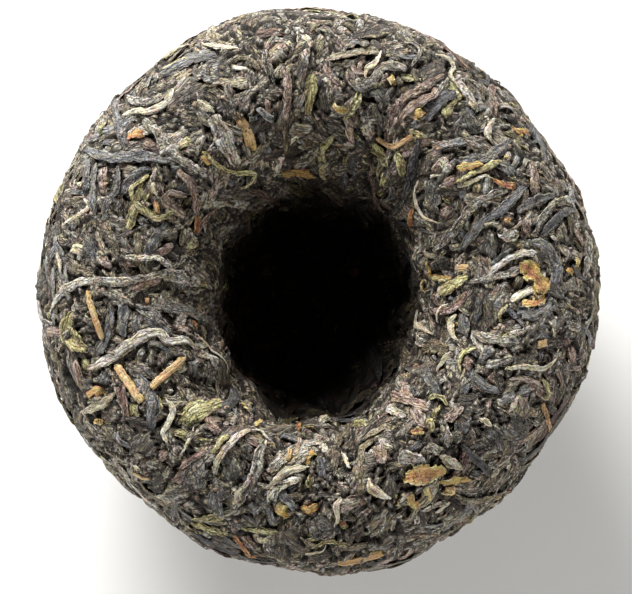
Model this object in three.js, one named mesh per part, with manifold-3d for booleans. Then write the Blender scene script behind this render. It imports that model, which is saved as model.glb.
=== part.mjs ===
// A tuocha: pu-erh tea leaves steamed and pressed into a thick nest with a deep hollow.
// It lies on the crown of its dome, with the hollow facing up. Millimetres, +Z up.
// The origin is on the axis of the nest, in the flat spot that it rests on.
import * as THREE from "three";
import { mergeVertices } from "three/addons/utils/BufferGeometryUtils.js";
import Module from "manifold-3d";

const wasm = await Module();
wasm.setup();

// ---------- Driving dimensions ----------

const DIAMETER = 82; // across the girth, the widest place
const HEIGHT = 43; // from the flat spot to the crest, the highest ring
const GIRTH_HEIGHT = 28;
const CREST_RADIUS = 28; // the crest runs round the mouth of the hollow
const THROAT_RADIUS = 15.2; // the hollow, just inside the mouth
const THROAT_HEIGHT = 30;
const FLOOR_HEIGHT = 13.5; // the lowest place in the hollow
const FOOT_RADIUS = 5; // where the crown of the dome begins to curve up
const FOOT_PRESS = 0.35; // how much of the crown is pressed away to leave the flat spot
const MOUTH_SHIFT = new THREE.Vector2(-0.1, -1.8); // the mouth sits a little off the axis
const MOUTH_OVAL = 0.9; // it is this much wider along Y on each side, and narrower along X

// The pressed leaves that show are strips laid over a core that is a little smaller,
// except at the foot, where the core itself is pressed flat.
const CORE_SINK = 0.75;
const CORE_SINK_REACH = 0.35; // how far past the foot the core has sunk so deep
const STRIP_COUNT = 112;
const STRIP_LENGTH = { least: 9, most: 19 };
const STRIP_WIDTH = { least: 1.8, most: 3.0 };
const STRIP_EDGE_SINK = 0.5; // how far a strip's edges lie under the nest's smooth form
const STRIP_RIDGE = 0.6; // its ridge over its edges
const STRIP_KEEL = 1.5; // its underside, which the core hides, below its edges
const STRIP_TIP_SINK = 0.6; // its two tips dive this much further
const STRIP_BEND = 0.07; // most turn of a strip's line, radians a millimetre

// Faces
const CORE_ROUND = 41; // odd, so that no edge under the foot crosses the axis
const CORE_STEPS_PER_STRETCH = [1, 7, 6, 6, 5];
const STRIP_SIDES = 4;
const STRIP_STEPS = 5;
const SHORTEST_EDGE = 0.02;
const PLACE_RINGS = 400; // rings of area counted when the strips' places are shared out
const STRIP_SEED = 31;

// ---------- The nest's form ----------

// Swellings (out) and flats (in) of the girth: bearing and half-width in degrees.
const BULGES = [
  { bearing: 115, out: 1.0, wide: 28 },
  { bearing: 275, out: 0.9, wide: 14 },
  { bearing: 45, out: -0.6, wide: 16 },
];

// Folds that run over the lip and down into the mouth. The first is a broad worn slope.
const FOLDS = [
  { bearing: 95, deep: 2.3, wide: 13 },
  { bearing: 66, deep: 1.7, wide: 4 },
  { bearing: 51, deep: 1.6, wide: 4 },
  { bearing: 280, deep: 1.5, wide: 3.5 },
  { bearing: 8, deep: 0.9, wide: 6 },
  { bearing: 328, deep: 0.8, wide: 5 },
  { bearing: 225, deep: 0.9, wide: 6 },
  { bearing: 182, deep: 0.8, wide: 5 },
  { bearing: 148, deep: 0.9, wide: 5 },
];

// Dips in the mouth's lower edge, where the lip falls away more steeply.
const MOUTH_DIPS = [
  { bearing: 255, deep: 2, wide: 14 },
  { bearing: 285, deep: 2, wide: 14 },
];

// Low waves all over, from clumps of leaf: whole turns round, turns along, and height.
const WAVES = [
  { round: 4, along: 3.2, phase: 1.0, high: 0.3 },
  { round: 7, along: -5.1, phase: 0.4, high: 0.25 },
  { round: 11, along: 7.3, phase: 2.1, high: 0.2 },
  { round: 16, along: -10.5, phase: 4.0, high: 0.15 },
];

// Named places along the profile, which runs from under the dome round into the hollow.
const ALONG = { foot: 1, girth: 2, crest: 3, throat: 4, floor: 5 };
const LIP = { middle: 3.5, reach: 0.42 };
const WAVES_BEGIN = [0.9, 1.7]; // the waves grow here, leaving the foot smooth
const WAVES_END = [4.4, 4.95]; // and fade here, towards the middle of the hollow's floor
const BULGES_BEGIN = [1.1, 1.8];
const BULGES_END = [2.3, 3];
const MOUTH_SHIFT_BEGIN = [2.4, 3.6]; // the profile leaves the axis of the dome here
const MOUTH_OVAL_BEGINS = [3.1, 3.9]; // the mouth turns oval and dips here, as far as WAVES_END

// The curves' handles, each as a share of the room that its curve has that way.
const PULL = {
  footOut: 0.62,
  girthHigh: 0.46,
  girthUp: 0.62,
  crestOut: 0.7,
  crestIn: 0.55,
  throatUp: 0.5,
  throatDown: 0.62,
  floorOut: 0.62,
};
const THROAT_FLARE = 0.6; // the lip's curve comes down this far outside the throat
const THROAT_TAPER = 0.9; // and the hollow narrows this much under it

// Where the strips lie.
const PLACES = { first: ALONG.foot + 0.05, last: ALONG.floor - 0.3 };
const CROWDING = { face: 1.35, elsewhere: 0.8 };
const LIP_BEGINS = ALONG.crest + 0.15;
const LIP_HEADINGS = 0.9; // the spread of their headings there, in radians
const NEAR_AXIS = { below: ALONG.foot + 0.3, above: ALONG.throat + 0.3, shorter: 0.6 };

const girthRadius = DIAMETER / 2;
const at = (r, z) => new THREE.Vector2(r, z);

// One curve for each stretch between two named places. The first handle of each
// goes on where the stretch before it left off, so the profile has no corner.
const stretches = [
  new THREE.LineCurve(at(0, -FOOT_PRESS), at(FOOT_RADIUS, -FOOT_PRESS)),
  new THREE.CubicBezierCurve(
    at(FOOT_RADIUS, -FOOT_PRESS),
    at(FOOT_RADIUS + PULL.footOut * (girthRadius - FOOT_RADIUS), -FOOT_PRESS),
    at(girthRadius, PULL.girthHigh * GIRTH_HEIGHT),
    at(girthRadius, GIRTH_HEIGHT),
  ),
  new THREE.CubicBezierCurve(
    at(girthRadius, GIRTH_HEIGHT),
    at(girthRadius, GIRTH_HEIGHT + PULL.girthUp * (HEIGHT - GIRTH_HEIGHT)),
    at(CREST_RADIUS + PULL.crestOut * (girthRadius - CREST_RADIUS), HEIGHT),
    at(CREST_RADIUS, HEIGHT),
  ),
  new THREE.CubicBezierCurve(
    at(CREST_RADIUS, HEIGHT),
    at(CREST_RADIUS - PULL.crestIn * (CREST_RADIUS - THROAT_RADIUS), HEIGHT),
    at(
      THROAT_RADIUS + THROAT_FLARE,
      THROAT_HEIGHT + PULL.throatUp * (HEIGHT - THROAT_HEIGHT),
    ),
    at(THROAT_RADIUS, THROAT_HEIGHT),
  ),
  new THREE.CubicBezierCurve(
    at(THROAT_RADIUS, THROAT_HEIGHT),
    at(
      THROAT_RADIUS - THROAT_TAPER,
      THROAT_HEIGHT - PULL.throatDown * (THROAT_HEIGHT - FLOOR_HEIGHT),
    ),
    at(PULL.floorOut * THROAT_RADIUS, FLOOR_HEIGHT),
    at(0, FLOOR_HEIGHT),
  ),
];

const rise = (x, [low, high]) => THREE.MathUtils.smoothstep(x, low, high);
const hump = (distance, halfWidth) => Math.exp(-((distance / halfWidth) ** 2));

// How far apart two bearings are, in degrees, the short way round.
function bearingGap(angle, bearing) {
  const gap = THREE.MathUtils.radToDeg(angle) - bearing;
  return THREE.MathUtils.euclideanModulo(gap + 180, 360) - 180;
}

function stretchAt(along) {
  const index = Math.min(Math.floor(along), stretches.length - 1);
  return { curve: stretches[index], t: along - index };
}

// How far the nest swells out from its smooth form at a place on it.
function swellAt(along, angle) {
  const clear = rise(along, WAVES_BEGIN) * (1 - rise(along, WAVES_END));
  const waves = WAVES.reduce(
    (sum, w) => sum + w.high * Math.sin(w.round * angle + w.along * along + w.phase),
    0,
  );
  const side = rise(along, BULGES_BEGIN) * (1 - rise(along, BULGES_END));
  const bulges = BULGES.reduce(
    (sum, b) => sum + b.out * hump(bearingGap(angle, b.bearing), b.wide),
    0,
  );
  const folds = FOLDS.reduce(
    (sum, f) => sum + f.deep * hump(bearingGap(angle, f.bearing), f.wide),
    0,
  );
  const lip = hump(along - LIP.middle, LIP.reach);
  const mouth = rise(along, MOUTH_OVAL_BEGINS) * (1 - rise(along, WAVES_END));
  const oval = MOUTH_OVAL * Math.cos(2 * angle);
  const dips = MOUTH_DIPS.reduce(
    (sum, d) => sum + d.deep * hump(bearingGap(angle, d.bearing), d.wide),
    0,
  );
  return clear * waves + side * bulges - lip * folds + mouth * (oval - dips);
}

// The point at a place on the nest, sunk under its surface by a depth.
function surfaceAt(along, angle, sink = 0) {
  const { curve, t } = stretchAt(along);
  const point = curve.getPoint(t);
  const ahead = curve.getTangent(t);
  const swell = swellAt(along, angle) - sink;
  const r = Math.max(point.x + ahead.y * swell, 0);
  const z = point.y - ahead.x * swell;
  const inward = rise(along, MOUTH_SHIFT_BEGIN);
  return new THREE.Vector3(
    r * Math.cos(angle) + inward * MOUTH_SHIFT.x,
    r * Math.sin(angle) + inward * MOUTH_SHIFT.y,
    z,
  );
}

// The surface's point and directions at a place: down its profile, round it and out of it.
function frameAt(along, angle) {
  const step = 1e-3;
  const down = surfaceAt(along + step, angle)
    .sub(surfaceAt(along - step, angle))
    .divideScalar(2 * step);
  const round = surfaceAt(along, angle + step)
    .sub(surfaceAt(along, angle - step))
    .divideScalar(2 * step);
  const rates = { down: down.length(), round: round.length() };
  down.normalize();
  round.normalize();
  const out = new THREE.Vector3().crossVectors(round, down).normalize();
  return { point: surfaceAt(along, angle), down, round, out, rates };
}

// ---------- The core ----------

// The places along the profile where the core has a ring of points.
function profileSteps() {
  const steps = CORE_STEPS_PER_STRETCH.flatMap((count, stretch) =>
    Array.from({ length: count }, (_, k) => stretch + k / count),
  );
  return [...steps, ALONG.floor];
}

// A lathe of the profile, with each of its points then moved to the nest's uneven form.
function coreGeometry() {
  const steps = profileSteps();
  const outline = steps.map((along) => {
    const { curve, t } = stretchAt(along);
    return curve.getPoint(t);
  });
  const geometry = new THREE.LatheGeometry(outline, CORE_ROUND);
  geometry.rotateX(Math.PI / 2);
  const position = geometry.getAttribute("position");
  for (let k = 0; k < position.count; k++) {
    const along = steps[k % steps.length];
    const angle = Math.atan2(position.getY(k), position.getX(k));
    const onAxis = along === 0 || along === ALONG.floor;
    const sink = CORE_SINK * rise(along, [ALONG.foot, ALONG.foot + CORE_SINK_REACH]);
    const point = surfaceAt(along, onAxis ? 0 : angle, sink);
    position.setXYZ(k, point.x, point.y, point.z);
  }
  return geometry;
}

// ---------- The leaf strips ----------

// A number from 0 to 1 at each call, the same series each time (mulberry32).
function seeded(seed) {
  let state = seed;
  return () => {
    state = (state + 0x6d2b79f5) | 0;
    let t = Math.imul(state ^ (state >>> 15), 1 | state);
    t = (t + Math.imul(t ^ (t >>> 7), 61 | t)) ^ t;
    return ((t ^ (t >>> 14)) >>> 0) / 4294967296;
  };
}

// Walks over the surface from a place and returns the frames met on the way, evenly spaced.
// On a turned form a straight line keeps radius times sine of heading, so the heading turns
// as the radius spreads.
function walk(start, heading, length, bend, steps) {
  const stride = length / steps;
  const frames = [];
  let { along, angle } = start;
  let turn = heading;
  for (let k = 0; k <= steps; k++) {
    const frame = frameAt(along, angle);
    const ahead = frame.down
      .clone()
      .multiplyScalar(Math.cos(turn))
      .addScaledVector(frame.round, Math.sin(turn));
    const side = new THREE.Vector3().crossVectors(ahead, frame.out).normalize();
    frames.push({ point: frame.point, side, out: frame.out });
    const { x, y } = frame.point;
    const spread = (x * frame.down.x + y * frame.down.y) / (x * x + y * y);
    along += (stride * Math.cos(turn)) / frame.rates.down;
    angle += (stride * Math.sin(turn)) / frame.rates.round;
    turn += (bend - Math.sin(turn) * spread) * stride;
  }
  return frames;
}

// A low-sided spindle, bent so that it follows frames on the surface: its ridge stands
// outward, its edges lie just clear of the core, and its keel and both tips are sunk in it.
function stripGeometry(frames, width) {
  const geometry = new THREE.SphereGeometry(1, STRIP_SIDES, STRIP_STEPS);
  const position = geometry.getAttribute("position");
  for (let k = 0; k < position.count; k++) {
    const across = position.getX(k);
    const lengthwise = position.getY(k);
    const upward = position.getZ(k);
    const lift = upward > 0 ? upward * STRIP_RIDGE : upward * STRIP_KEEL;
    const tipSink = STRIP_TIP_SINK * lengthwise ** 4;
    const reach = ((lengthwise + 1) / 2) * (frames.length - 1);
    const index = Math.min(Math.floor(reach), frames.length - 2);
    const mix = reach - index;
    const { point, side, out } = frames[index];
    const next = frames[index + 1];
    const place = point
      .clone()
      .lerp(next.point, mix)
      .addScaledVector(side.clone().lerp(next.side, mix), (across * width) / 2)
      .addScaledVector(out.clone().lerp(next.out, mix), lift - tipSink - STRIP_EDGE_SINK);
    position.setXYZ(k, place.x, place.y, place.z);
  }
  return geometry;
}

// Even places for the strips: a golden-angle spiral that climbs the profile by its area,
// with the face and the lip counted as more.
function stripPlaces() {
  const rings = Array.from({ length: PLACE_RINGS + 1 }, (_, k) => {
    return THREE.MathUtils.lerp(PLACES.first, PLACES.last, k / PLACE_RINGS);
  });
  const areas = [0];
  for (let k = 1; k <= PLACE_RINGS; k++) {
    const a = surfaceAt(rings[k - 1], 0);
    const b = surfaceAt(rings[k], 0);
    const onFace = rings[k] > ALONG.girth && rings[k] < ALONG.throat;
    const crowding = onFace ? CROWDING.face : CROWDING.elsewhere;
    areas.push(areas[k - 1] + crowding * Math.hypot(b.x, b.y) * a.distanceTo(b));
  }
  const goldenAngle = Math.PI * (3 - Math.sqrt(5));
  return Array.from({ length: STRIP_COUNT }, (_, i) => {
    const wanted = ((i + 0.5) / STRIP_COUNT) * areas[PLACE_RINGS];
    const k = areas.findIndex((area) => area >= wanted);
    return { along: rings[k], angle: (i * goldenAngle) % (2 * Math.PI) };
  });
}

// The strips lie any way on the dome and the face, but over the lip they run down into
// the hollow, and near the axis they are shorter.
function stripGeometries() {
  const random = seeded(STRIP_SEED);
  const within = (spread) => (random() - 0.5) * spread;
  const between = ({ least, most }) => least + (most - least) * random();
  return stripPlaces().map((place) => {
    const heading = within(place.along > LIP_BEGINS ? LIP_HEADINGS : Math.PI);
    const nearAxis = place.along < NEAR_AXIS.below || place.along > NEAR_AXIS.above;
    const length = between(STRIP_LENGTH) * (nearAxis ? NEAR_AXIS.shorter : 1);
    const width = between(STRIP_WIDTH);
    const bend = within(2 * STRIP_BEND);
    const room = length / 2 / frameAt(place.along, place.angle).rates.down;
    const start = { ...place, along: place.along - room * Math.cos(heading) };
    const frames = walk(start, heading, length, bend, STRIP_STEPS);
    return stripGeometry(frames, width);
  });
}

// ---------- Joining ----------

function solidOf(geometry) {
  const bare = geometry.clone();
  bare.deleteAttribute("normal");
  bare.deleteAttribute("uv");
  const merged = mergeVertices(bare, 1e-4);
  return new wasm.Manifold(
    new wasm.Mesh({
      numProp: 3,
      vertProperties: merged.getAttribute("position").array,
      triVerts: new Uint32Array(merged.index.array),
    }),
  );
}

function geometryOf(solid) {
  const mesh = solid.getMesh();
  const geometry = new THREE.BufferGeometry();
  geometry.setAttribute("position", new THREE.BufferAttribute(mesh.vertProperties, 3));
  geometry.setIndex(new THREE.BufferAttribute(mesh.triVerts, 1));
  geometry.computeVertexNormals();
  return geometry;
}

// The shell with the most volume. Gaps sealed under crossing strips are thereby filled. One
// that meets the shell at a point only comes apart from it when the mesh is read afresh, so
// this goes on until a fresh reading is a single body.
function largestBody(solid) {
  const bodies = solidOf(geometryOf(solid)).decompose();
  const largest = bodies.reduce((best, body) => {
    return body.volume() > best.volume() ? body : best;
  });
  return bodies.length > 1 ? largestBody(largest) : largest;
}

function pressedNest() {
  const strips = stripGeometries().map(solidOf);
  const heap = wasm.Manifold.union([solidOf(coreGeometry()), ...strips]);
  const ground = new THREE.BoxGeometry(DIAMETER, DIAMETER, HEIGHT);
  ground.translate(0, 0, -HEIGHT / 2);
  const nest = heap.subtract(solidOf(ground));
  return geometryOf(largestBody(nest.simplify(SHORTEST_EDGE)));
}

const leafMaterial = new THREE.MeshStandardMaterial({
  color: 0x57524a,
  roughness: 0.7,
  metalness: 0,
});

const tuocha = new THREE.Mesh(pressedNest(), leafMaterial);
tuocha.name = "tuocha";

const part = new THREE.Group();
part.add(tuocha);

export default part;
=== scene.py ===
"""A pu-erh tuocha, dressed: leaf strips, buds, stems and flakes pressed over a dark core.

The nest's form is the one that the CAD solid has. Every leaf is a closed strip that follows
that form. The leaves are laid from the top down: each passes under what was laid before it.
"""
import logging
import math
from dataclasses import dataclass, field
from enum import Enum
from functools import partial

import bpy
import numpy as np
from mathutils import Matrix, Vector
from mathutils.kdtree import KDTree


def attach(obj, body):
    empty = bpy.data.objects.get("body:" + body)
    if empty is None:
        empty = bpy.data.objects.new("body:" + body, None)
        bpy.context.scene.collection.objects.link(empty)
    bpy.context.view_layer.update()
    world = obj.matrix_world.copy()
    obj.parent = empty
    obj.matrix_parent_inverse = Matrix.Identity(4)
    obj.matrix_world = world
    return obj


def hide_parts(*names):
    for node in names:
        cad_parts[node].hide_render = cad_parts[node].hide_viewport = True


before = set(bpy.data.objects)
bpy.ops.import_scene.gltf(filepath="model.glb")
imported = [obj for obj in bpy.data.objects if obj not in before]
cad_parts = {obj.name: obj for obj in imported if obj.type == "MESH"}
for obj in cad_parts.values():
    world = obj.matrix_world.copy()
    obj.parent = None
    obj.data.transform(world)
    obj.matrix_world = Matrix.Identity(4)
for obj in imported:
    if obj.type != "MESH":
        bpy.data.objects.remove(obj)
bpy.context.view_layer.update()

Array = np.ndarray
Pixel = tuple[float, float]

MM = 0.001  # the form is worked out in millimetres, and the meshes are in metres
PHOTO_WIDTH = 632  # pixels
PHOTO_HEIGHT = 594
SEED = 7

FLOOR = 5.0  # the last place along the nest's profile, in the middle of the hollow's floor
FINE_PLACES = 4001  # places along the profile between which its length is summed
HOLLOW_SHADE_ENDS = (3.8, 4.3)  # along, over which painted shade comes in on the leaves deep in the hollow
LOWEST = 0.02  # millimetres over the ground, under which no point of a mesh goes
SHORTEST = 1e-9  # keeps a vector of no length from being divided by 0

log = logging.getLogger("tuocha")


# ---------- Small tools ----------


def rise(x: Array, low: float, high: float) -> Array:
    """A smooth step: 0 up to low, 1 from high on, and 3t^2 - 2t^3 between."""
    t = np.clip((x - low) / (high - low), 0.0, 1.0)
    return t * t * (3.0 - 2.0 * t)


def hump(distance: Array, half_width: float) -> Array:
    """A bell: e to the minus square of distance over half_width."""
    return np.exp(-((distance / half_width) ** 2))


def unit(vectors: Array) -> Array:
    """The vectors, each divided by its length."""
    lengths = np.linalg.norm(vectors, axis=-1, keepdims=True)
    return vectors / np.maximum(lengths, SHORTEST)


def dot(a: Array, b: Array) -> Array:
    """The dot products of two arrays of vectors."""
    return np.einsum("...i,...i->...", a, b)


def linear(hex_colour: str) -> tuple[float, float, float, float]:
    """Turns an sRGB hex colour into the linear colour that Blender's nodes take, by the sRGB formula.

    Args:
        hex_colour: six hex digits after a #.

    Returns:
        Red, green, blue and an alpha of 1.
    """
    parts = [int(hex_colour[k : k + 2], 16) / 255 for k in (1, 3, 5)]
    straight = [c / 12.92 if c <= 0.04045 else ((c + 0.055) / 1.055) ** 2.4 for c in parts]
    return (*straight, 1.0)


# ---------- The nest's form ----------


@dataclass(frozen=True)
class Patch:
    """Places on the nest with the directions there: down its profile, round it and out."""

    point: Array
    down: Array
    round: Array
    out: Array
    down_rate: Array  # millimetres for each unit of along
    round_rate: Array  # millimetres for each radian


@dataclass(frozen=True)
class NestForm:
    """The nest: a turned profile with waves, bulges at the girth and folds over the lip.

    Places on it are given by along, from 0 in the middle of the foot past the girth at 2,
    the crest at 3 and the throat at 4 to 5 in the middle of the hollow's floor, and by the
    angle round its axis. Sizes are in millimetres, as in the part's source.
    """

    girth_radius: float = 41.0
    height: float = 43.0
    girth_height: float = 28.0
    crest_radius: float = 28.0
    throat_radius: float = 15.2
    throat_height: float = 30.0
    floor_height: float = 13.5
    foot_radius: float = 5.0
    foot_press: float = 0.35
    mouth_shift: tuple[float, float] = (-0.1, -1.8)
    mouth_oval: float = 0.9  # how much wider it is along Y on each side, and narrower along X
    # bearing, depth and half-width of each dip in the mouth's lower edge
    mouth_dips: tuple = ((255, 2.0, 14), (285, 2.0, 14))
    # round, along, phase and height of each wave
    waves: tuple = ((4, 3.2, 1.0, 0.3), (7, -5.1, 0.4, 0.25), (11, 7.3, 2.1, 0.2), (16, -10.5, 4.0, 0.15))
    # bearing, height and half-width of each bulge, and bearing, depth and half-width of each fold
    bulges: tuple = ((115, 1.0, 28), (275, 0.9, 14), (45, -0.6, 16))
    folds: tuple = (
        (95, 2.3, 13), (66, 1.7, 4), (51, 1.6, 4), (280, 1.5, 3.5), (8, 0.9, 6),
        (328, 0.8, 5), (225, 0.9, 6), (182, 0.8, 5), (148, 0.9, 5),
    )
    # Where each of these comes in or goes out along the profile. The folds are a bell there.
    waves_begin: tuple[float, float] = (0.9, 1.7)
    waves_end: tuple[float, float] = (4.4, 4.95)
    bulges_begin: tuple[float, float] = (1.1, 1.8)
    bulges_end: tuple[float, float] = (2.3, 3.0)
    oval_begins: tuple[float, float] = (3.1, 3.9)
    shift_begins: tuple[float, float] = (2.4, 3.6)
    lip_middle: float = 3.5
    lip_reach: float = 0.42
    # The curves' handles, each as a share of the room that its curve has that way.
    foot_out: float = 0.62
    girth_high: float = 0.46
    girth_up: float = 0.62
    crest_out: float = 0.7
    crest_in: float = 0.55
    throat_up: float = 0.5
    throat_down: float = 0.62
    floor_out: float = 0.62
    throat_flare: float = 0.6  # the lip's curve comes down this far outside the throat
    throat_taper: float = 0.9  # and the hollow narrows this much under it
    nudge: float = 1e-3  # how far to each side the places lie that give a direction
    near_axis: float = 0.05  # millimetres a radian, under which round is taken from the bearing
    least_rate: float = 0.5  # keeps a step in millimetres from being a long one near the poles

    def handles(self) -> Array:
        """Lists the profile's Bezier points.

        Returns:
            The four points, radius and height, of each of its five stretches.
        """
        girth, crest, throat = self.girth_radius, self.crest_radius, self.throat_radius
        foot, low = self.foot_radius, -self.foot_press
        top, mouth, floor = self.height, self.throat_height, self.floor_height
        belly = self.girth_height
        return np.array([
            [(0, low), (foot / 3, low), (2 * foot / 3, low), (foot, low)],
            [(foot, low), (foot + self.foot_out * (girth - foot), low),
             (girth, self.girth_high * belly), (girth, belly)],
            [(girth, belly), (girth, belly + self.girth_up * (top - belly)),
             (crest + self.crest_out * (girth - crest), top), (crest, top)],
            [(crest, top), (crest - self.crest_in * (crest - throat), top),
             (throat + self.throat_flare, mouth + self.throat_up * (top - mouth)), (throat, mouth)],
            [(throat, mouth), (throat - self.throat_taper, mouth - self.throat_down * (mouth - floor)),
             (self.floor_out * throat, floor), (0, floor)],
        ], float)

    def profile(self, along: Array) -> tuple[Array, Array]:
        """The smooth profile.

        Args:
            along: places along it.

        Returns:
            Points (radius, height) and unit tangents, by the cubic Bezier formula.
        """
        stretch = np.clip(np.floor(along), 0, 4).astype(int)
        t = (along - stretch)[..., None]
        p = self.handles()[stretch]
        s = 1.0 - t
        points = s**3 * p[..., 0, :] + 3 * s * s * t * p[..., 1, :]
        points = points + 3 * s * t * t * p[..., 2, :] + t**3 * p[..., 3, :]
        ahead = s * s * (p[..., 1, :] - p[..., 0, :]) + 2 * s * t * (p[..., 2, :] - p[..., 1, :])
        ahead = ahead + t * t * (p[..., 3, :] - p[..., 2, :])
        return points, unit(ahead)

    @staticmethod
    def bells(angle: Array, rows: tuple) -> Array:
        """Adds up bells that stand round the nest.

        Args:
            angle: bearings round the axis, in radians.
            rows: bearing, size and half-width of each bell, in degrees and millimetres.

        Returns:
            The sum of the bells at each bearing.
        """
        total = np.zeros(np.shape(angle))
        for bearing, size, wide in rows:
            gap = np.mod(np.degrees(angle) - bearing + 180.0, 360.0) - 180.0
            total = total + size * hump(gap, wide)
        return total

    def swell(self, along: Array, angle: Array) -> Array:
        """How far the nest stands out of its profile.

        It is the waves, the bulges and the mouth's oval, less the folds and the mouth's dips,
        each by how far it has come in at that place along the profile.

        Args:
            along: places along the profile.
            angle: bearings round the axis, in radians.

        Returns:
            Millimetres out of the surface at each place.
        """
        waves_out = 1.0 - rise(along, *self.waves_end)
        clear = rise(along, *self.waves_begin) * waves_out
        waves = sum(h * np.sin(n * angle + a * along + phase) for n, a, phase, h in self.waves)
        side = rise(along, *self.bulges_begin) * (1.0 - rise(along, *self.bulges_end))
        lip = hump(along - self.lip_middle, self.lip_reach)
        mouth = rise(along, *self.oval_begins) * waves_out
        oval = self.mouth_oval * np.cos(2 * angle) - self.bells(angle, self.mouth_dips)
        outer = clear * waves + side * self.bells(angle, self.bulges)
        return outer - lip * self.bells(angle, self.folds) + mouth * oval

    def mouth_offset(self, along: Array) -> Array:
        """How far the axis has moved aside at a place along the profile, in x and y."""
        return rise(along, *self.shift_begins)[..., None] * np.array(self.mouth_shift)

    def place(self, along: Array, angle: Array, sink: Array | float = 0.0) -> Array:
        """Points on the nest.

        Args:
            along: places along the profile.
            angle: bearings round the axis, in radians.
            sink: how far under the form they lie.

        Returns:
            Points in millimetres: the profile's point moved out by swell less sink.
        """
        points, ahead = self.profile(along)
        out = self.swell(along, angle) - sink
        radius = np.maximum(points[..., 0] + ahead[..., 1] * out, 0.0)
        height = points[..., 1] - ahead[..., 0] * out
        flat = radius[..., None] * np.stack([np.cos(angle), np.sin(angle)], axis=-1)
        return np.concatenate([flat + self.mouth_offset(along), height[..., None]], axis=-1)

    def patch(self, along: Array, angle: Array) -> Patch:
        """Finds the directions at places on the nest, from points a nudge to each side.

        Args:
            along: places along the profile.
            angle: bearings round the axis, in radians.

        Returns:
            The patch at each place.
        """
        step = self.nudge
        down = (self.place(along + step, angle) - self.place(along - step, angle)) / (2 * step)
        around = (self.place(along, angle + step) - self.place(along, angle - step)) / (2 * step)
        turned = np.stack([-np.sin(angle), np.cos(angle), np.zeros_like(angle)], axis=-1)
        round_rate = np.linalg.norm(around, axis=-1)
        at_axis = (round_rate < self.near_axis)[..., None]
        around = np.where(at_axis, turned, unit(around))
        out = unit(np.cross(around, unit(down)))
        return Patch(
            self.place(along, angle), unit(down), around, out,
            np.maximum(np.linalg.norm(down, axis=-1), self.least_rate),
            np.maximum(round_rate, self.least_rate),
        )

    def walk(
        self, along: Array, angle: Array, heading: Array, turns: Array, stride: Array
    ) -> tuple[Array, Array]:
        """Walks over the nest from many places at once, in even strides.

        Each stride goes ahead in space, and the place under its end is found again on the
        profile by one Newton step. The direction then turns round the surface's normal.

        Args:
            along, angle: where each walk starts.
            heading: its first direction, from down the profile towards round it.
            turns: how far it turns after each stride, an array of walks by strides.
            stride: the length of its strides.

        Returns:
            along and angle of every place met, as arrays of walks by places.
        """
        places = [(along, angle)]
        ahead = None
        for turn in turns.T:
            here = self.patch(along, angle)
            if ahead is None:
                ahead = np.cos(heading)[:, None] * here.down + np.sin(heading)[:, None] * here.round
            ahead = unit(ahead - dot(ahead, here.out)[:, None] * here.out)
            side = np.cross(here.out, ahead)
            ahead = np.cos(turn)[:, None] * ahead + np.sin(turn)[:, None] * side
            there = here.point + stride[:, None] * ahead
            along = along + stride * dot(ahead, here.down) / here.down_rate
            along = np.where(along > FLOOR, 2 * FLOOR - along, np.abs(along))
            flat = there[:, :2] - self.mouth_offset(along)
            angle = np.arctan2(flat[:, 1], flat[:, 0])
            found = self.patch(along, angle)
            miss = dot(there - found.point, found.down) / found.down_rate
            along = np.clip(along + miss, self.nudge, FLOOR - self.nudge)
            places.append((along, angle))
        alongs, angles = zip(*places)
        return np.stack(alongs, axis=1), np.stack(angles, axis=1)


# ---------- The camera ----------


@dataclass(frozen=True)
class PhotoCamera:
    """The photograph's camera: straight over the hollow, leaning a little to the picture's foot."""

    lean: float = math.radians(8.0)
    distance: float = 410.0  # millimetres from what it is aimed at
    aim: tuple[float, float, float] = (-0.35, -1.1, 28.0)
    radius_pixels: float = 279.0  # the girth's radius in the photograph
    girth_radius: float = 41.0  # and in millimetres
    sensor: float = 36.0

    def back(self) -> Array:
        """The direction from the nest to the camera."""
        return np.array([0.0, -math.sin(self.lean), math.cos(self.lean)])

    def up(self) -> Array:
        """The picture's upward direction."""
        return np.array([0.0, math.cos(self.lean), math.sin(self.lean)])

    def focal_pixels(self) -> float:
        """The focal length in pixels, which makes the girth as large as it is in the photograph."""
        return self.radius_pixels * self.distance / self.girth_radius

    def pixel_of(self, points: Array) -> Array:
        """Where points in millimetres show in the photograph, x to the right and y down."""
        seen = points - (np.array(self.aim) + self.distance * self.back())
        depth = -seen @ self.back()
        x = PHOTO_WIDTH / 2 + self.focal_pixels() * seen[..., 0] / depth
        y = PHOTO_HEIGHT / 2 - self.focal_pixels() * (seen @ self.up()) / depth
        return np.stack([x, y], axis=-1)

    def make(self) -> None:
        """Adds the camera to the scene."""
        data = bpy.data.cameras.new("camera")
        data.sensor_width = self.sensor
        data.lens = self.focal_pixels() * self.sensor / PHOTO_WIDTH
        data.clip_start = 0.01  # metres
        data.clip_end = 10.0
        camera = bpy.data.objects.new("camera", data)
        camera.location = Vector((np.array(self.aim) + self.distance * self.back()) * MM)
        camera.rotation_mode = "QUATERNION"
        camera.rotation_quaternion = Vector(-self.back()).to_track_quat("-Z", "Y")
        bpy.context.scene.collection.objects.link(camera)
        bpy.context.scene.camera = camera


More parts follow.
